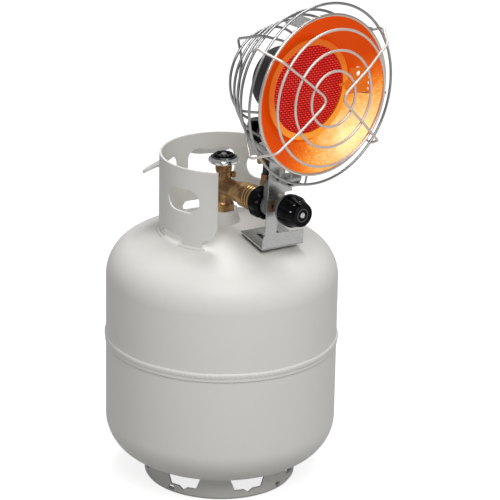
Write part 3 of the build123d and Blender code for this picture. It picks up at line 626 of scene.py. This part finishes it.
upper = turned_up(shell_half(UPPER_HEAD_Z - GIRTH_Z, NECK_HOLE_R), 192)
upper[..., 2] += GIRTH_Z
piece("shell_upper", upper, "tank", enamel, ["tank_upper_shell"])
lower = turned_up(shell_half(GIRTH_Z - LOWER_HEAD_Z, 0.0), 192)
lower[..., 2] = GIRTH_Z - lower[..., 2]
piece("shell_lower", lower, "tank", enamel, ["tank_lower_shell"])


# %% [markdown]
# The lower half is pressed a little wider where it laps over the upper one. The weld lies on that
# lap in one pass while the cylinder turns, so its bead carries small even ripples. They could be a
# bump in the paint, but the bead shows against the light at both sides of the cylinder. So they are
# a real shape: a sine of the angle that scales the bead's height and leaves the lap below it flat.

# %% Girth weld
RIPPLES_ROUND = 150
LAP_BOTTOM, BEAD_TOP = -8.6, 4.0


def weld_bead():
    """Radius = shell + relief(height) * (1 + bead * (ripple - 1)). The relief is read from a short
    table of the lap and the bead in millimetres, bead goes from 0 on the lap to 1 on the weld, and
    ripple is 1 plus a fine and a slow sine of the angle."""
    height = np.array([LAP_BOTTOM, -8.4, -8.0, -7.0, -4.6, -3.6, -2.6, -1.2, 0.4, 1.8, 2.9, 3.6,
                       BEAD_TOP])
    relief = np.array([-0.3, 0.5, 1.0, 1.2, 1.15, 1.2, 1.5, 1.8, 1.9, 1.7, 1.1, 0.4, -0.3])
    rise = np.linspace(LAP_BOTTOM, BEAD_TOP, 34)[:, None]
    angle = np.linspace(0, TURN, 720, endpoint=False)[None, :]
    ripple = 1 + 0.08 * np.sin(angle * RIPPLES_ROUND + 0.4 * rise) + 0.06 * np.sin(angle * 7)
    bead = np.clip((rise + 4) / 1.5, 0, 1)
    radius = SHELL_R + MM * np.interp(rise, height, relief) * (1 + bead * (ripple - 1))
    level = GIRTH_Z + MM * rise + 0.25 * MM * np.sin(angle * 11) * bead
    grid = np.stack([radius * np.cos(angle), radius * np.sin(angle), level], -1)
    inside_wall = grid[[-1, 0]] * np.array([0.985, 0.985, 1.0])
    return np.concatenate([grid, inside_wall])


piece("girth_bead", weld_bead(), "tank", enamel, ["girth_weld"], (True, True))

# %% [markdown]
# Many solids of the frame already have the right shape. Copies with softer edges would cost faces
# and show nothing at this size, so these solids only get their finish.

# %% Finishes of the frame's own solids
dress(enamel, "foot_ring", "collar", "collar_welds", "neck_boss")
dress(brass, "valve_body", "valve_bonnet", "relief_valve", "bleeder_screw", "inlet_nipple",
      "orifice", "riser_elbow")
dress(black_plastic, "safety_button")
dress(bright_steel, "valve_spindle", "knob_shaft", "hinge_bolt", "wing_nut", "tip_switch",
      "float_arm", "dip_tube", "float_bracket", "regulator_spring", "venturi_tube")
dress(rubber, "inlet_seal", "foot_pad", "diaphragm")
dress(cast_grey, "rear_manifold", "regulator_body")
dress(zinc_sheet, "support_bracket", "tilt_arm")
dress(tag_plate, "guard_tag")
dress(black_casting, "gas_riser", "hinge_block", "valve_block", "baffle_plate")
dress(float_plastic, "overfill_float")
dress(copper, "thermocouple_lead")

# %% [markdown]
# ## Valve details
# The outlet carries a coarse thread with rounded crests. A tube could be wound round it as a
# spring, with two loose ends. A wave on a plain barrel has none: it runs along the outlet while the
# angle shifts it, and after a full turn it has moved by exactly one pitch, which makes a helix.

# %% Outlet thread
THREAD_START, THREAD_END, THREAD_PITCH = 56.0 * MM, 77.5 * MM, 5.08 * MM
THREAD_CREST, THREAD_CLEARANCE, THREAD_BORE_R = 0.56 * MM, 0.04 * MM, 15.5 * MM


def make_thread_brass():
    """Light brass on the crests and dark brown in the roots, with more polish on the crests; atan2
    of x and z gives the angle that shifts the wave.
    """
    finish = Finish("thread_brass", Metallic=0.9, Roughness=0.3)
    x, y, z = finish.axes()
    angle = (z - OUTLET_Z).maths("ARCTAN2", x)
    wave = (y * (-TURN / THREAD_PITCH) - angle).maths("COSINE")
    crest = finish.steps(wave, -0.5, 0.6)
    finish.feed(Base_Color=finish.mix(crest, (0.10, 0.05, 0.02, 1), (0.74, 0.46, 0.20, 1)),
                Roughness=0.5 - 0.25 * crest)
    return finish.material


def outlet_thread():
    """Radius = root + crest * wave, where wave is a raised cosine of forward / pitch less the
    turns, and fades out at both ends."""
    start, end, pitch = THREAD_START, THREAD_END, THREAD_PITCH
    forward = np.linspace(start, end, 200)[:, None]
    angle = np.linspace(0, TURN, 96, endpoint=False)[None, :]
    wave = (0.5 + 0.5 * np.cos(TURN * forward / pitch - angle)) ** 0.7
    fade = np.clip((forward - start) / (2 * MM), 0, 1) * np.clip((end - forward) / (1.5 * MM), 0, 1)
    radius = OUTLET_R + THREAD_CLEARANCE + THREAD_CREST * wave * fade
    grid = np.stack([radius * np.cos(angle), -forward + 0 * angle,
                     OUTLET_Z + radius * np.sin(angle)], -1)
    inner = np.array([[THREAD_BORE_R], [THREAD_BORE_R]])
    ends = np.stack([inner * np.cos(angle), -np.array([[start], [end]]) + 0 * angle,
                     OUTLET_Z + inner * np.sin(angle)], -1)
    return np.concatenate([ends[:1], grid, ends[1:]])


piece("outlet_thread", outlet_thread(), "tank", make_thread_brass(),
      wrap=(True, True))


# %% [markdown]
# The handwheel is a bright casting with a smooth sloping rim and a black cap in its middle. Both
# are lathe shapes. The cap's scallops could be cut out one by one, which leaves sharp slivers, so
# they are dips in its radius, ten round the edge.

# %% Handwheel
def lathe_ring(corners, softness, steps=5):
    """Closed section from corners in millimetres, with every corner softened."""
    return soft(np.array(corners) * MM, softness * MM, steps, closed=True)


def scallops(count, depth, low, high):
    """Radius less depth * (0.5 + 0.5 cos(count * angle)) ^ 3, growing from low to high."""
    def flute(height, radius, angle):
        rise = np.clip((height - low) / (high - low), 0, 1)
        outside = radius > 0.7 * radius.max()
        return radius - depth * rise * outside * (0.5 + 0.5 * np.cos(count * angle)) ** 3
    return flute


wheel = lathe_ring([(4.05, 443.5), (8, 443.5), (9, 446), (16, 443.8), (19.2, 443.8), (20.5, 444.8),
                    (20.5, 448.4), (19.4, 450), (14.8, 452.9), (13.7, 452.6), (13.6, 451.0),
                    (4.05, 451.0)], 0.9)
piece("handwheel_rim", turned_up(wheel, 160), "handwheel_set", chrome, ["handwheel"],
      (True, True))
cap = lathe_ring([(8.0, 451.05), (13.45, 451.05), (13.45, 454.2), (12.2, 455.5), (9.0, 455.2),
                  (8.0, 454.2)], 0.7)
piece("handwheel_cap", turned_up(cap, 240, scallops(10, 1.1 * MM, 452 * MM, 453.5 * MM)),
      "handwheel_set", black_plastic, ["wheel_insert"], (True, True))

# %% [markdown]
# ## Hand nut and control knob
# Both are black mouldings turned on a level axis. The hand nut has eight broad lobes. They could
# be eight cylinders joined to a ring, but on the real nut they run into each other without an edge,
# so its radius swings gently with the angle.

# %% Hand nut
NUT_LOBE_DEPTH, KNOB_GROOVE_DEPTH = 1.8 * MM, 1.7 * MM


def nut_lobes(forward, radius, angle):
    """Radius less depth * (0.5 - 0.5 cos 8a) ^ 1.5, growing over the step behind the grip."""
    grip = np.clip((forward - 73.5 * MM) / (4 * MM), 0, 1) * (radius > 17.6 * MM)
    return radius - NUT_LOBE_DEPTH * grip * (0.5 - 0.5 * np.cos(8 * angle)) ** 1.5


nut = lathe_ring([(71.5, 17.35), (71.5, 18.6), (74.5, 19.8), (76.5, 22.3), (88, 22.3), (92, 18.7),
                  (92, 8.45), (84, 8.45), (84, 17.35)], 1.2, 7)
piece("hand_nut", turned_forward(nut, z=OUTLET_Z, segments=240, flute=nut_lobes), "nut",
      black_plastic, ["coupling_nut"], (True, True))


# %% [markdown]
# The control knob has narrow finger grooves in its wide part and a dish in its face, with a fine
# grey ring and a pale dot. A groove is the nut's cosine raised to a high power, which keeps each
# dip short. The ring and the dot could be painted, but as pieces they catch the light.

# %% Control knob
def knob_grooves(forward, radius, angle):
    """Radius less depth * (0.5 + 0.5 cos 9a) ^ 8 in the wide part: nine finger grooves."""
    wide = np.clip((forward - 124 * MM) / (1.5 * MM), 0, 1)
    wide = wide * np.clip((142 * MM - forward) / (5 * MM), 0, 1) * (radius > 12 * MM)
    return radius - KNOB_GROOVE_DEPTH * wide * (0.5 + 0.5 * np.cos(9 * angle)) ** 8


knob = lathe_ring([(123, 6.05), (123, 20.4), (124.2, 21.5), (134, 21.4), (140.5, 18.6),
                   (148.6, 16.2), (151, 15.2), (151, 13.9), (150.1, 13.4), (150.1, 10.4),
                   (149.7, 10.0), (149.7, 0.01), (133, 0.01), (133, 6.05)], 0.6)
piece("dial_knob", turned_forward(knob, KNOB_X, OUTLET_Z, 288, knob_grooves), "knob",
      black_plastic, ["control_knob"], (True, True))
dot = np.array([(149.5, 0.0), (150.75, 0.0), (150.7, 2.4), (150.45, 3.3), (149.9, 3.6),
                (149.5, 3.6), (149.5, 0.0)]) * MM
piece("dial_dot", turned_forward(dot, KNOB_X, OUTLET_Z, 48), "knob", pale_dot)
dial_ring = lathe_ring([(149.5, 8.0), (150.3, 8.0), (150.3, 9.0), (149.5, 9.0)], 0.2)
piece("dial_ring", turned_forward(dial_ring, KNOB_X, OUTLET_Z, 96), "knob", ring_grey,
      wrap=(True, True))


# %% [markdown]
# Four short pale marks on the knob's shoulder show its settings. A mask in the plastic's material
# could paint them, but its edges would blur close up. Each is a thin pad that lies on the cone: two
# parameters run along and round the cone, and the pad's edge sinks into it.

# %% Setting marks
MARK_FORWARD, MARK_HALF_LENGTH, MARK_HALF_ANGLE = 144.3 * MM, 1.3 * MM, 0.035
MARK_HEIGHT, MARK_SUNK = 0.25 * MM, 0.12 * MM
CONE_FORWARD, CONE_R, CONE_SLOPE = 140.5 * MM, 18.6 * MM, 0.295


def dial_mark(angle_at):
    """Pad over a small patch of the cone: its height is a full height * (1 - u^4)(1 - v^4)."""
    u, v = np.meshgrid(np.linspace(-1, 1, 9), np.linspace(-1, 1, 9))
    forward = MARK_FORWARD + MARK_HALF_LENGTH * u
    cone = CONE_R - CONE_SLOPE * (forward - CONE_FORWARD)
    radius = cone - MARK_SUNK + MARK_HEIGHT * (1 - u ** 4) * (1 - v ** 4)
    angle = angle_at + MARK_HALF_ANGLE * v
    upright = np.stack([KNOB_X + radius * np.cos(angle), -forward,
                        OUTLET_Z + radius * np.sin(angle)], -1)
    return leaned(upright)


marks = [shell_of(dial_mark(radians(angle)), (False, False)) for angle in (62, 95, 128, 161)]
solid("dial_marks", marks, "knob", pale_dot)

# %% [markdown]
# ## The glowing head
# The burner is alight. The woven screen glows red, and the bowl and the ring round the screen
# throw that light back, orange at the top and pale yellow low on the right. A lamp behind the
# screen could do it, but its light would also spill over the valve. So the screen's own glow is set
# as emission, and the light that the bowl and the ring throw back is painted on them as emission,
# with the metal under it.

# %% The face's own coordinates
HEAD_CENTRE = on_head(0, 0, 0)


def head_plane(finish):
    """Coordinates with the head's centre as origin: x to the right, y to the rear, z up."""
    return finish.axes(finish.moved(location=tuple(-HEAD_CENTRE)))


# %% [markdown]
# The glow painted on the bowl comes in two ways. It is an even orange where it faces the sky, and
# low on the right the crinkled metal throws back bright specks, painted as highlights. One flat
# texture could hold both, but it would stretch on the curved wall. Masks of the distance from a
# spot place the painted bright part, and noise folded about its middle value draws the creases'
# painted highlights. Just outside the burner ring a painted shadow darkens the bowl.

# %% Bowl glow
# Centre of the painted highlight, right of and below the head's centre.
PAINTED_SPOT_RIGHT, PAINTED_SPOT_DOWN = 60 * MM, 56 * MM


def make_bowl_glow():
    """Orange metal with painted glow; two soft masks and some noise say where the painted
    reflection turns to yellow and cream.
    """
    finish = Finish("reflector_painted_glow", Metallic=0.6, Roughness=0.30, Emission_Strength=1.0,
                    Specular_IOR_Level=0.15)
    x, _, z = head_plane(finish)
    # Painted reflection: brighter low on the right, brightest at a painted highlight spot.
    low = finish.steps(x * 0.75 - z * 0.95, 0.022, 0.120)
    across, upward = x - PAINTED_SPOT_RIGHT, z + PAINTED_SPOT_DOWN
    painted_spot = finish.steps(across * across + upward * upward, 0.0040, 0.0002)
    painted_bright = low * 0.80 + painted_spot * 0.20
    # Painted highlights along the creases of the metal.
    fine = finish.noise(120.0, 5.0, distortion=2.0)
    crinkle_highlight = finish.steps((fine - 0.5).maths("ABSOLUTE"), 0.040, 0.0)
    cloudy = finish.noise(45.0)
    # Level of the painted glow: the painted bright area with cloudy changes, plus the crease
    # highlights.
    warm = painted_bright * 0.88 + (cloudy - 0.5) * 0.45 * painted_bright + crinkle_highlight * 0.55 * low
    streaks = finish.noise(1.0, 2.0, finish.moved(scale=(25.0, 900.0, 25.0)))
    # Painted shadow: the bowl is darker just outside the burner ring.
    near = finish.steps(x * x + z * z, 0.0050, 0.0043)
    tone = warm - near * 0.30 + streaks * 0.06 - 0.03
    finish.feed(Base_Color=finish.ramp(tone, (0.0, (0.12, 0.03, 0.004)),
                                       (0.5, (0.20, 0.09, 0.02)), (1.0, (0.30, 0.24, 0.15))),
                Emission_Color=finish.ramp(tone, (0.0, (0.56, 0.042, 0.0)),
                                           (0.30, (0.73, 0.105, 0.002)),
                                           (0.60, (0.87, 0.34, 0.045)), (0.98, (0.95, 0.57, 0.22))),
                Roughness=0.26 + 0.2 * streaks)
    finish.bump(streaks, 0.2 * MM, 0.4)
    return finish.material


# %% [markdown]
# The ring round the screen, the thermocouple's strap and the rim's bead only catch the glow, so its
# light is painted on them too. They could share the bowl's finish, but its creases would be far too
# large on them, so they get plainer ones: two colours mixed by the height on the face with a
# painted shade on the ring's side, and a warm metal whose tint is a painted reflection.

# %% Lit ring and warm rim
RING_FRONT, RING_BEHIND = 28.4 * MM, 29.8 * MM


def make_ring_glow(name, top, low_colour, side):
    """Metal with painted glow, brighter low down; what lies behind the ring's face gets a painted
    shade.
    """
    finish = Finish(name, Metallic=0.5, Roughness=0.3, Base_Color=(0.12, 0.04, 0.006, 1),
                    Emission_Strength=1.0, Specular_IOR_Level=0.2)
    x, depth, z = head_plane(finish)
    low = finish.steps(x * 0.4 - z, -0.03, 0.055)
    patch = finish.noise(60.0)
    # Painted shade on the ring's side wall behind its face.
    turned = finish.steps(depth, RING_FRONT, RING_BEHIND)
    face = finish.mix(low * 0.85 + patch * 0.2, (*top, 1), (*low_colour, 1))
    finish.feed(Emission_Color=finish.mix(turned, face, (*side, 1)),
                Roughness=0.22 + 0.2 * patch)
    return finish.material


def make_rim_steel():
    """Bright bead with a warm cast, a painted reflection of the glow, which varies a little with
    the polish.
    """
    finish = Finish("rim_steel", Metallic=1.0, Roughness=0.22)
    tint = finish.noise(30.0)
    # Painted reflection of the glow: the bead's colour is a warm pink.
    finish.feed(Base_Color=finish.mix(tint, (0.66, 0.58, 0.52, 1), (0.78, 0.71, 0.65, 1)),
                Roughness=0.28 + 0.1 * tint)
    return finish.material


# %% [markdown]
# The screen's weave is drawn with sine waves on the face's flat coordinates. A brick or a checker
# texture would give hard squares, while crossed wires rise and fall smoothly. The product of two
# waves at half the rate lifts every second crossing, as weaving does.

# %% Screen glow
SCREEN_PITCH = 3.1 * MM


def make_screen_glow():
    """Woven wire: two sine waves across each other set the height, and the lit crests."""
    finish = Finish("screen_glow", Roughness=0.6, Base_Color=(0.03, 0.004, 0.004, 1),
                    Emission_Strength=1.0, Specular_IOR_Level=0.15)
    place = finish.node("ShaderNodeUVMap", {"uv_map": "face"}, [])
    u, v, _ = finish.axes(place)
    rate = TURN / SCREEN_PITCH
    warp = (u * rate).maths("SINE")
    weft = (v * rate).maths("SINE")
    over = (u * (rate / 2)).maths("SINE") * (v * (rate / 2)).maths("SINE")
    crest = finish.steps(weft * 0.8 + warp * 0.35 + over * 0.5, -0.2, 1.2)
    uneven = finish.noise(50.0, place=place)
    lit = crest * (0.55 + 0.9 * uneven)
    finish.feed(Emission_Color=finish.ramp(lit, (0.0, (0.30, 0.0, 0.0)),
                                           (0.45, (0.58, 0.004, 0.003)),
                                           (0.8, (0.80, 0.024, 0.015)), (1.0, (0.95, 0.11, 0.08))))
    finish.bump(crest, 0.6 * MM, 0.8)
    return finish.material


bowl_painted_glow = make_bowl_glow()
# Painted glow colours: at the top, low down, and the painted shade on the side.
ring_painted_glow = make_ring_glow("ring_painted_glow", (0.58, 0.085, 0.008), (0.86, 0.30, 0.03),
                           (0.34, 0.05, 0.004))
strap_painted_glow = make_ring_glow("strap_painted_glow", (0.52, 0.075, 0.004), (0.66, 0.14, 0.012),
                            (0.34, 0.05, 0.004))
screen_glow = make_screen_glow()
rim_steel = make_rim_steel()
dress(strap_painted_glow, "thermocouple")
dress(screen_glow, "inner_screen")

# %% [markdown]
# The reflector is a shallow dish of thin bright steel, with a square window through its right wall
# for the thermocouple. It could be one shell, but only its inside glows. So it is two skins, from
# the inner curve to the middle of the sheet and from there to the outer curve. Leaving faces out
# would give the window a ragged edge, so a Boolean modifier cuts it, and the result is kept as a
# plain mesh.

# %% Reflector dish
WINDOW_LOW = (76.0 * MM, -40.0 * MM, -12.3 * MM)
WINDOW_HIGH = (92.2 * MM, -3.0 * MM, 22.5 * MM)


def cut_window(obj, low, high):
    """Take a box of the head, from low to high (right, ahead, up), out of an object."""
    corner = np.array([[x, y, z] for x in (0, 1) for y in (0, 1) for z in (0, 1)])
    place = np.array(low) + corner * (np.array(high) - np.array(low))
    points = in_head(place[:, 0], place[:, 1], place[:, 2])
    faces = [(2, 3, 1, 0), (5, 7, 6, 4), (1, 5, 4, 0), (6, 7, 3, 2), (4, 6, 2, 0), (3, 7, 5, 1)]
    mesh = bpy.data.meshes.new("window_box")
    mesh.from_pydata(points.tolist(), [], faces)
    box = bpy.data.objects.new("window_box", mesh)
    bpy.context.scene.collection.objects.link(box)
    cut = obj.modifiers.new("window", "BOOLEAN")
    cut.operation, cut.object, cut.solver = "DIFFERENCE", box, "EXACT"
    view = bpy.context.evaluated_depsgraph_get()
    result = bpy.data.meshes.new_from_object(obj.evaluated_get(view))
    obj.modifiers.clear()
    obj.data = result
    bpy.data.objects.remove(box)
    result.set_sharp_from_angle(angle=SHARP_EDGE)
    print("window cut:", len(result.polygons), "faces")


INSIDE = np.array([(-34.2, 61.15), (-33.0, 67.8), (-24.3, 82.0), (-11.7, 94.6), (-0.6, 102.6)])
OUTSIDE = np.array([(-35.2, 61.15), (-34.0, 68.0), (-25.3, 82.7), (-12.4, 95.6), (-1.2, 103.6)])
MIDDLE = (INSIDE + OUTSIDE) / 2


def dish_skin(name, near, far, finish, stands_for=()):
    """One half of the sheet's thickness: near curve out to the rim, far curve back."""
    bends = np.array([9, 9, 9, 0.2, 0.2, 9, 9, 9]) * MM
    section = soft(np.concatenate([near, far[::-1]]) * MM, bends, 9)
    skin = piece(name, on_head_turned(section, 256), "head", finish, stands_for,
                 (True, True))
    cut_window(skin, WINDOW_LOW, WINDOW_HIGH)


dish_skin("reflector_dish", INSIDE, MIDDLE, bowl_painted_glow, ["reflector"])
dish_skin("reflector_back", MIDDLE, OUTSIDE, bright_steel)

# %% [markdown]
# The burner behind it is a black pressed can. The polished ring that holds the screens in front
# of it has a rolled outer edge and four round-headed screws. Half a ball could stand for a screw,
# but a real head is flatter in the middle, so its height falls with a power of the radius.

# %% Burner can and ring
SCREW_CIRCLE_R, SCREW_HEAD_R, SCREW_HEAD_HEIGHT = 62 * MM, 2.8 * MM, 1.7 * MM
SCREW_ANGLES = (-46, 44, 134, 226)
RING_FACE = -27.35 * MM

can = lathe_ring([(-29.2, 59.9), (-29.2, 64.0), (-30.2, 64.0), (-30.2, 61.0), (-42, 61.0),
                  (-45.5, 57.0), (-48, 43.2), (-91.6, 42.5), (-91.6, 0.01), (-90.4, 0.01),
                  (-90.4, 41.3), (-47, 42.0), (-44.5, 56.0), (-41, 59.9)], 2.0, 6)
piece("burner_can", on_head_turned(can, 160), "head", black_casting, ["burner_cup"],
      (True, True))


def screw_head(angle_at):
    """Domed head: ahead = face + height * (1 - share ^ 2.5), radius grows with the share."""
    share = np.linspace(0, 1, 8)[:, None]
    turn = np.linspace(0, TURN, 24, endpoint=False)[None, :]
    x = SCREW_CIRCLE_R * cos(angle_at) + SCREW_HEAD_R * share * np.cos(turn)
    z = SCREW_CIRCLE_R * sin(angle_at) + SCREW_HEAD_R * share * np.sin(turn)
    ahead = RING_FACE + SCREW_HEAD_HEIGHT * (1 - share ** 2.5) + 0 * turn
    return in_head(x, ahead, z)


ring = lathe_ring([(-27.3, 58.0), (-27.3, 65.0), (-28.5, 66.0), (-31.5, 66.0), (-31.5, 65.2),
                   (-29.1, 64.6), (-29.1, 59.4), (-31.7, 59.0), (-31.7, 58.0)], 0.5, 5)
ring_shells = [shell_of(on_head_turned(ring, 160), (True, True))]
ring_shells += [shell_of(screw_head(radians(angle_at))) for angle_at in SCREW_ANGLES]
solid("burner_ring", ring_shells, "head", ring_painted_glow, ["burner_flange"])


# %% [markdown]
# The screen is woven from heat-proof wire. Hundreds of crossing wires could be modelled, each
# thinner than a pixel. Here it is one shallow dome, and its material draws the weave. The weave has
# to lie flat on the face while the head leans, so a UV map of the face holds its coordinates.

# %% Glow screen
SCREEN_R, SCREEN_RISE = 59.5 * MM, 4.5 * MM
SCREEN_EDGE, SCREEN_BACK = -32 * MM, -33 * MM


def screen_surface():
    """Shallow dome: the height over the edge is rise * (1 - share^2) of the radius."""
    share = np.linspace(0, 1, 40)
    front = np.stack([SCREEN_EDGE - SCREEN_RISE * share ** 2 + SCREEN_RISE, SCREEN_R * share], -1)
    return np.concatenate([front, [[SCREEN_BACK, SCREEN_R], [SCREEN_BACK, 0]]])


def add_face_map(obj):
    """UV map of a head piece: distance right and up of the head's axis, in metres, from x and z
    turned back by the lean's cosine and sine."""
    mesh = obj.data
    corners = np.zeros(len(mesh.loops), np.int32)
    mesh.loops.foreach_get("vertex_index", corners)
    places = np.zeros(len(mesh.vertices) * 3)
    mesh.vertices.foreach_get("co", places)
    places = places.reshape(-1, 3)[corners] - HEAD_CENTRE
    flat = np.stack([places[:, 0] * cos(LEAN) - places[:, 2] * sin(LEAN),
                     places[:, 0] * sin(LEAN) + places[:, 2] * cos(LEAN)], -1)
    layer = mesh.uv_layers.new(name="face")
    layer.data.foreach_set("uv", flat.ravel())


screen = piece("woven_screen", on_head_turned(screen_surface()), "head", screen_glow,
               ["glow_screen"])
add_face_map(screen)

# %% [markdown]
# ## The wire guard
# Round plated wire, 3.5 mm thick: three rings over the face, a large hoop round the rim, four
# hoops down a cone behind, and bent wires that hold them. Curves with a round bevel could make
# them. Every wire is a tube along its path instead, because then the ends are closed and the faces
# are even. A thicker ring of the same kind is the rolled bead on the dish's rim.

# %% Rings and hoops
FACE_RINGS = ((36.4, 19.0), (63.0, 19.0), (89.0, 15.5))
BASKET = ((101.0, 41.5), (89.7, 61.5), (77.3, 83.5), (62.0, 110.5))
RIM_BEAD_R, RIM_BEAD_BACK, RIM_BEAD_THICK = 103.9, 1.0, 2.1


def ring_path(radius, ahead, count=160):
    """Even run of points round the head's axis, from sizes in millimetres."""
    return on_head(radius * MM, ahead * MM, np.linspace(0, TURN, count, endpoint=False))


def wire_ring(name, radius, ahead, finish):
    """One welded ring of guard wire, which takes the place of the frame's ring."""
    piece(name, tube(ring_path(radius, ahead), WIRE_R, closed=True), "head", finish,
          [f"guard_{name}"], (True, True))


for number, (radius, ahead) in enumerate(FACE_RINGS, 1):
    wire_ring(f"face_ring_{number}", radius, ahead, face_wire_painted_glow)
for number, (radius, behind) in enumerate(BASKET, 1):
    wire_ring(f"rear_hoop_{number}", radius, -behind, wire_plate)
bead_path = ring_path(RIM_BEAD_R, -RIM_BEAD_BACK, 192)
piece("rim_bead", tube(bead_path, RIM_BEAD_THICK * MM, 20, closed=True), "head", rim_steel,
      wrap=(True, True))

# %% [markdown]
# The large hoop at the front stands clear of the rim, on two short stays welded on below. They are
# welded to it for good, so hoop and stays are one piece made of three tubes.

# %% Front hoop and stays
HOOP_R, HOOP_BACK = 118.0, 4.5
STAY_FOOT_R, STAY_BACK, STAY_THICK, STAY_ANGLES = 105.0, 3.0, 1.4, (248, 262)


def stay(angle_at):
    """Straight run from the rim out to the hoop at one clock angle."""
    radius = STAY_FOOT_R + (HOOP_R - STAY_FOOT_R) * np.linspace(0, 1, 6)
    return tube(on_head(radius * MM, -STAY_BACK * MM, angle_at), STAY_THICK * MM, 12)


hoop_shells = [shell_of(tube(ring_path(HOOP_R, -HOOP_BACK), WIRE_R, closed=True), (True, True))]
hoop_shells += [shell_of(stay(radians(angle_at))) for angle_at in STAY_ANGLES]
solid("front_hoop", hoop_shells, "head", wire_plate, ["guard_front_hoop"])

# %% [markdown]
# A hairpin on each side starts at the first rear hoop, bends out over the front hoop and runs in to
# the middle of the face and back. Its legs are straight in front of the rings, so a point where a
# leg crosses a ring can't be set by eye without a kink: it is the root of a quadratic.

# %% Hairpins
HAIRPIN_TIP, HAIRPIN_ELBOW_R = 10 * MM, 105.9 * MM
HAIRPIN_LEVELS = {1: (36.0, -38.0), -1: (33.0, -35.0)}
RING_AHEAD, TOUCH = 19.0 * MM, 3.4 * MM


def on_leg(tip_x, elbow, radius, ahead):
    """Point where a hairpin's straight leg crosses a radius of the face (root of a quadratic)."""
    run_x, run_z = elbow[0] - tip_x, elbow[1]
    run_squared = run_x ** 2 + run_z ** 2
    along = -tip_x * run_x
    share = (along + np.sqrt(along ** 2 + run_squared * (radius ** 2 - tip_x ** 2))) / run_squared
    x, z = tip_x + share * run_x, share * run_z
    return on_head(np.hypot(x, z), ahead, np.arctan2(z, x))


def hairpin(side):
    """Soft path through its corners: up one leg to the tip and down the other. Side is 1 on the
    right and -1 on the left."""
    flat = RING_AHEAD + TOUCH
    legs = []
    for level in HAIRPIN_LEVELS[side]:
        angle = radians(level if side > 0 else 180 - level)
        elbow = (HAIRPIN_ELBOW_R * cos(angle), HAIRPIN_ELBOW_R * sin(angle))
        legs.append([
            on_head(102.4 * MM, -45.2 * MM, angle),
            on_head(127.3 * MM, -11.3 * MM, angle),
            on_head(HAIRPIN_ELBOW_R, 18.4 * MM, angle),
            on_leg(side * HAIRPIN_TIP, elbow, 88 * MM, 19.05 * MM),
            on_leg(side * HAIRPIN_TIP, elbow, 65 * MM, flat),
        ])
    tip = on_head(HAIRPIN_TIP, flat, 0 if side > 0 else pi)
    points = np.array(legs[0] + [tip] + legs[1][::-1])
    bends = np.array([6, 6, 6, 6, 16, 6, 6, 6, 6]) * MM
    return tube(soft(points, bends, 9), WIRE_R)


piece("hairpin_left", hairpin(-1), "head", face_wire_painted_glow, ["guard_hairpin_left"])
piece("hairpin_right", hairpin(1), "head", face_wire_painted_glow, ["guard_hairpin_right"])

# %% [markdown]
# A bent wire on each side hooks over the rim, runs back along the cone of hoops, and bows across
# the rear. One wire and its mirror image would be quick, but the left one dips inside the hoops on
# its lower leg. So each is a list of corners, and the right one mirrors only the clock angles.

# %% Rear wires
UPPER_LEG = ((107.8, 1.0, 133.4), (107.4, 12.0, 133.6), (104.4, 43.3, 134.2), (76.0, 110.0, 136.0))
INNER_LEG = ((107.8, 1.0, 185.0), (107.4, 12.0, 186.5), (98.0, 39.8, 191.5), (78.1, 75.0, 203.0),
             (58.0, 110.0, 214.0))
OUTER_LEG = ((107.8, 1.0, 185.0), (107.4, 12.0, 186.5), (104.5, 43.4, 191.5), (84.6, 79.8, 203.0),
             (63.5, 115.9, 214.0))
BOW = (40.0, 122.5, 150.0)


def rear_wire(lower_leg, mirrored):
    """Path through (radius, distance behind the rim, clock angle) corners, softly bent."""
    corners = np.array(UPPER_LEG + (BOW,) + lower_leg[::-1])
    clock = np.radians(180 - corners[:, 2] if mirrored else corners[:, 2])
    points = on_head(corners[:, 0] * MM, -corners[:, 1] * MM, clock)
    bends = np.array([6, 8, 7, 12, 7, 12, 8, 6]) * MM
    return shell_of(tube(soft(points, bends, 9), WIRE_R))


solid("rear_wires", [rear_wire(INNER_LEG, False), rear_wire(OUTER_LEG, True)], "head",
      wire_plate, ["guard_basket_wires"])
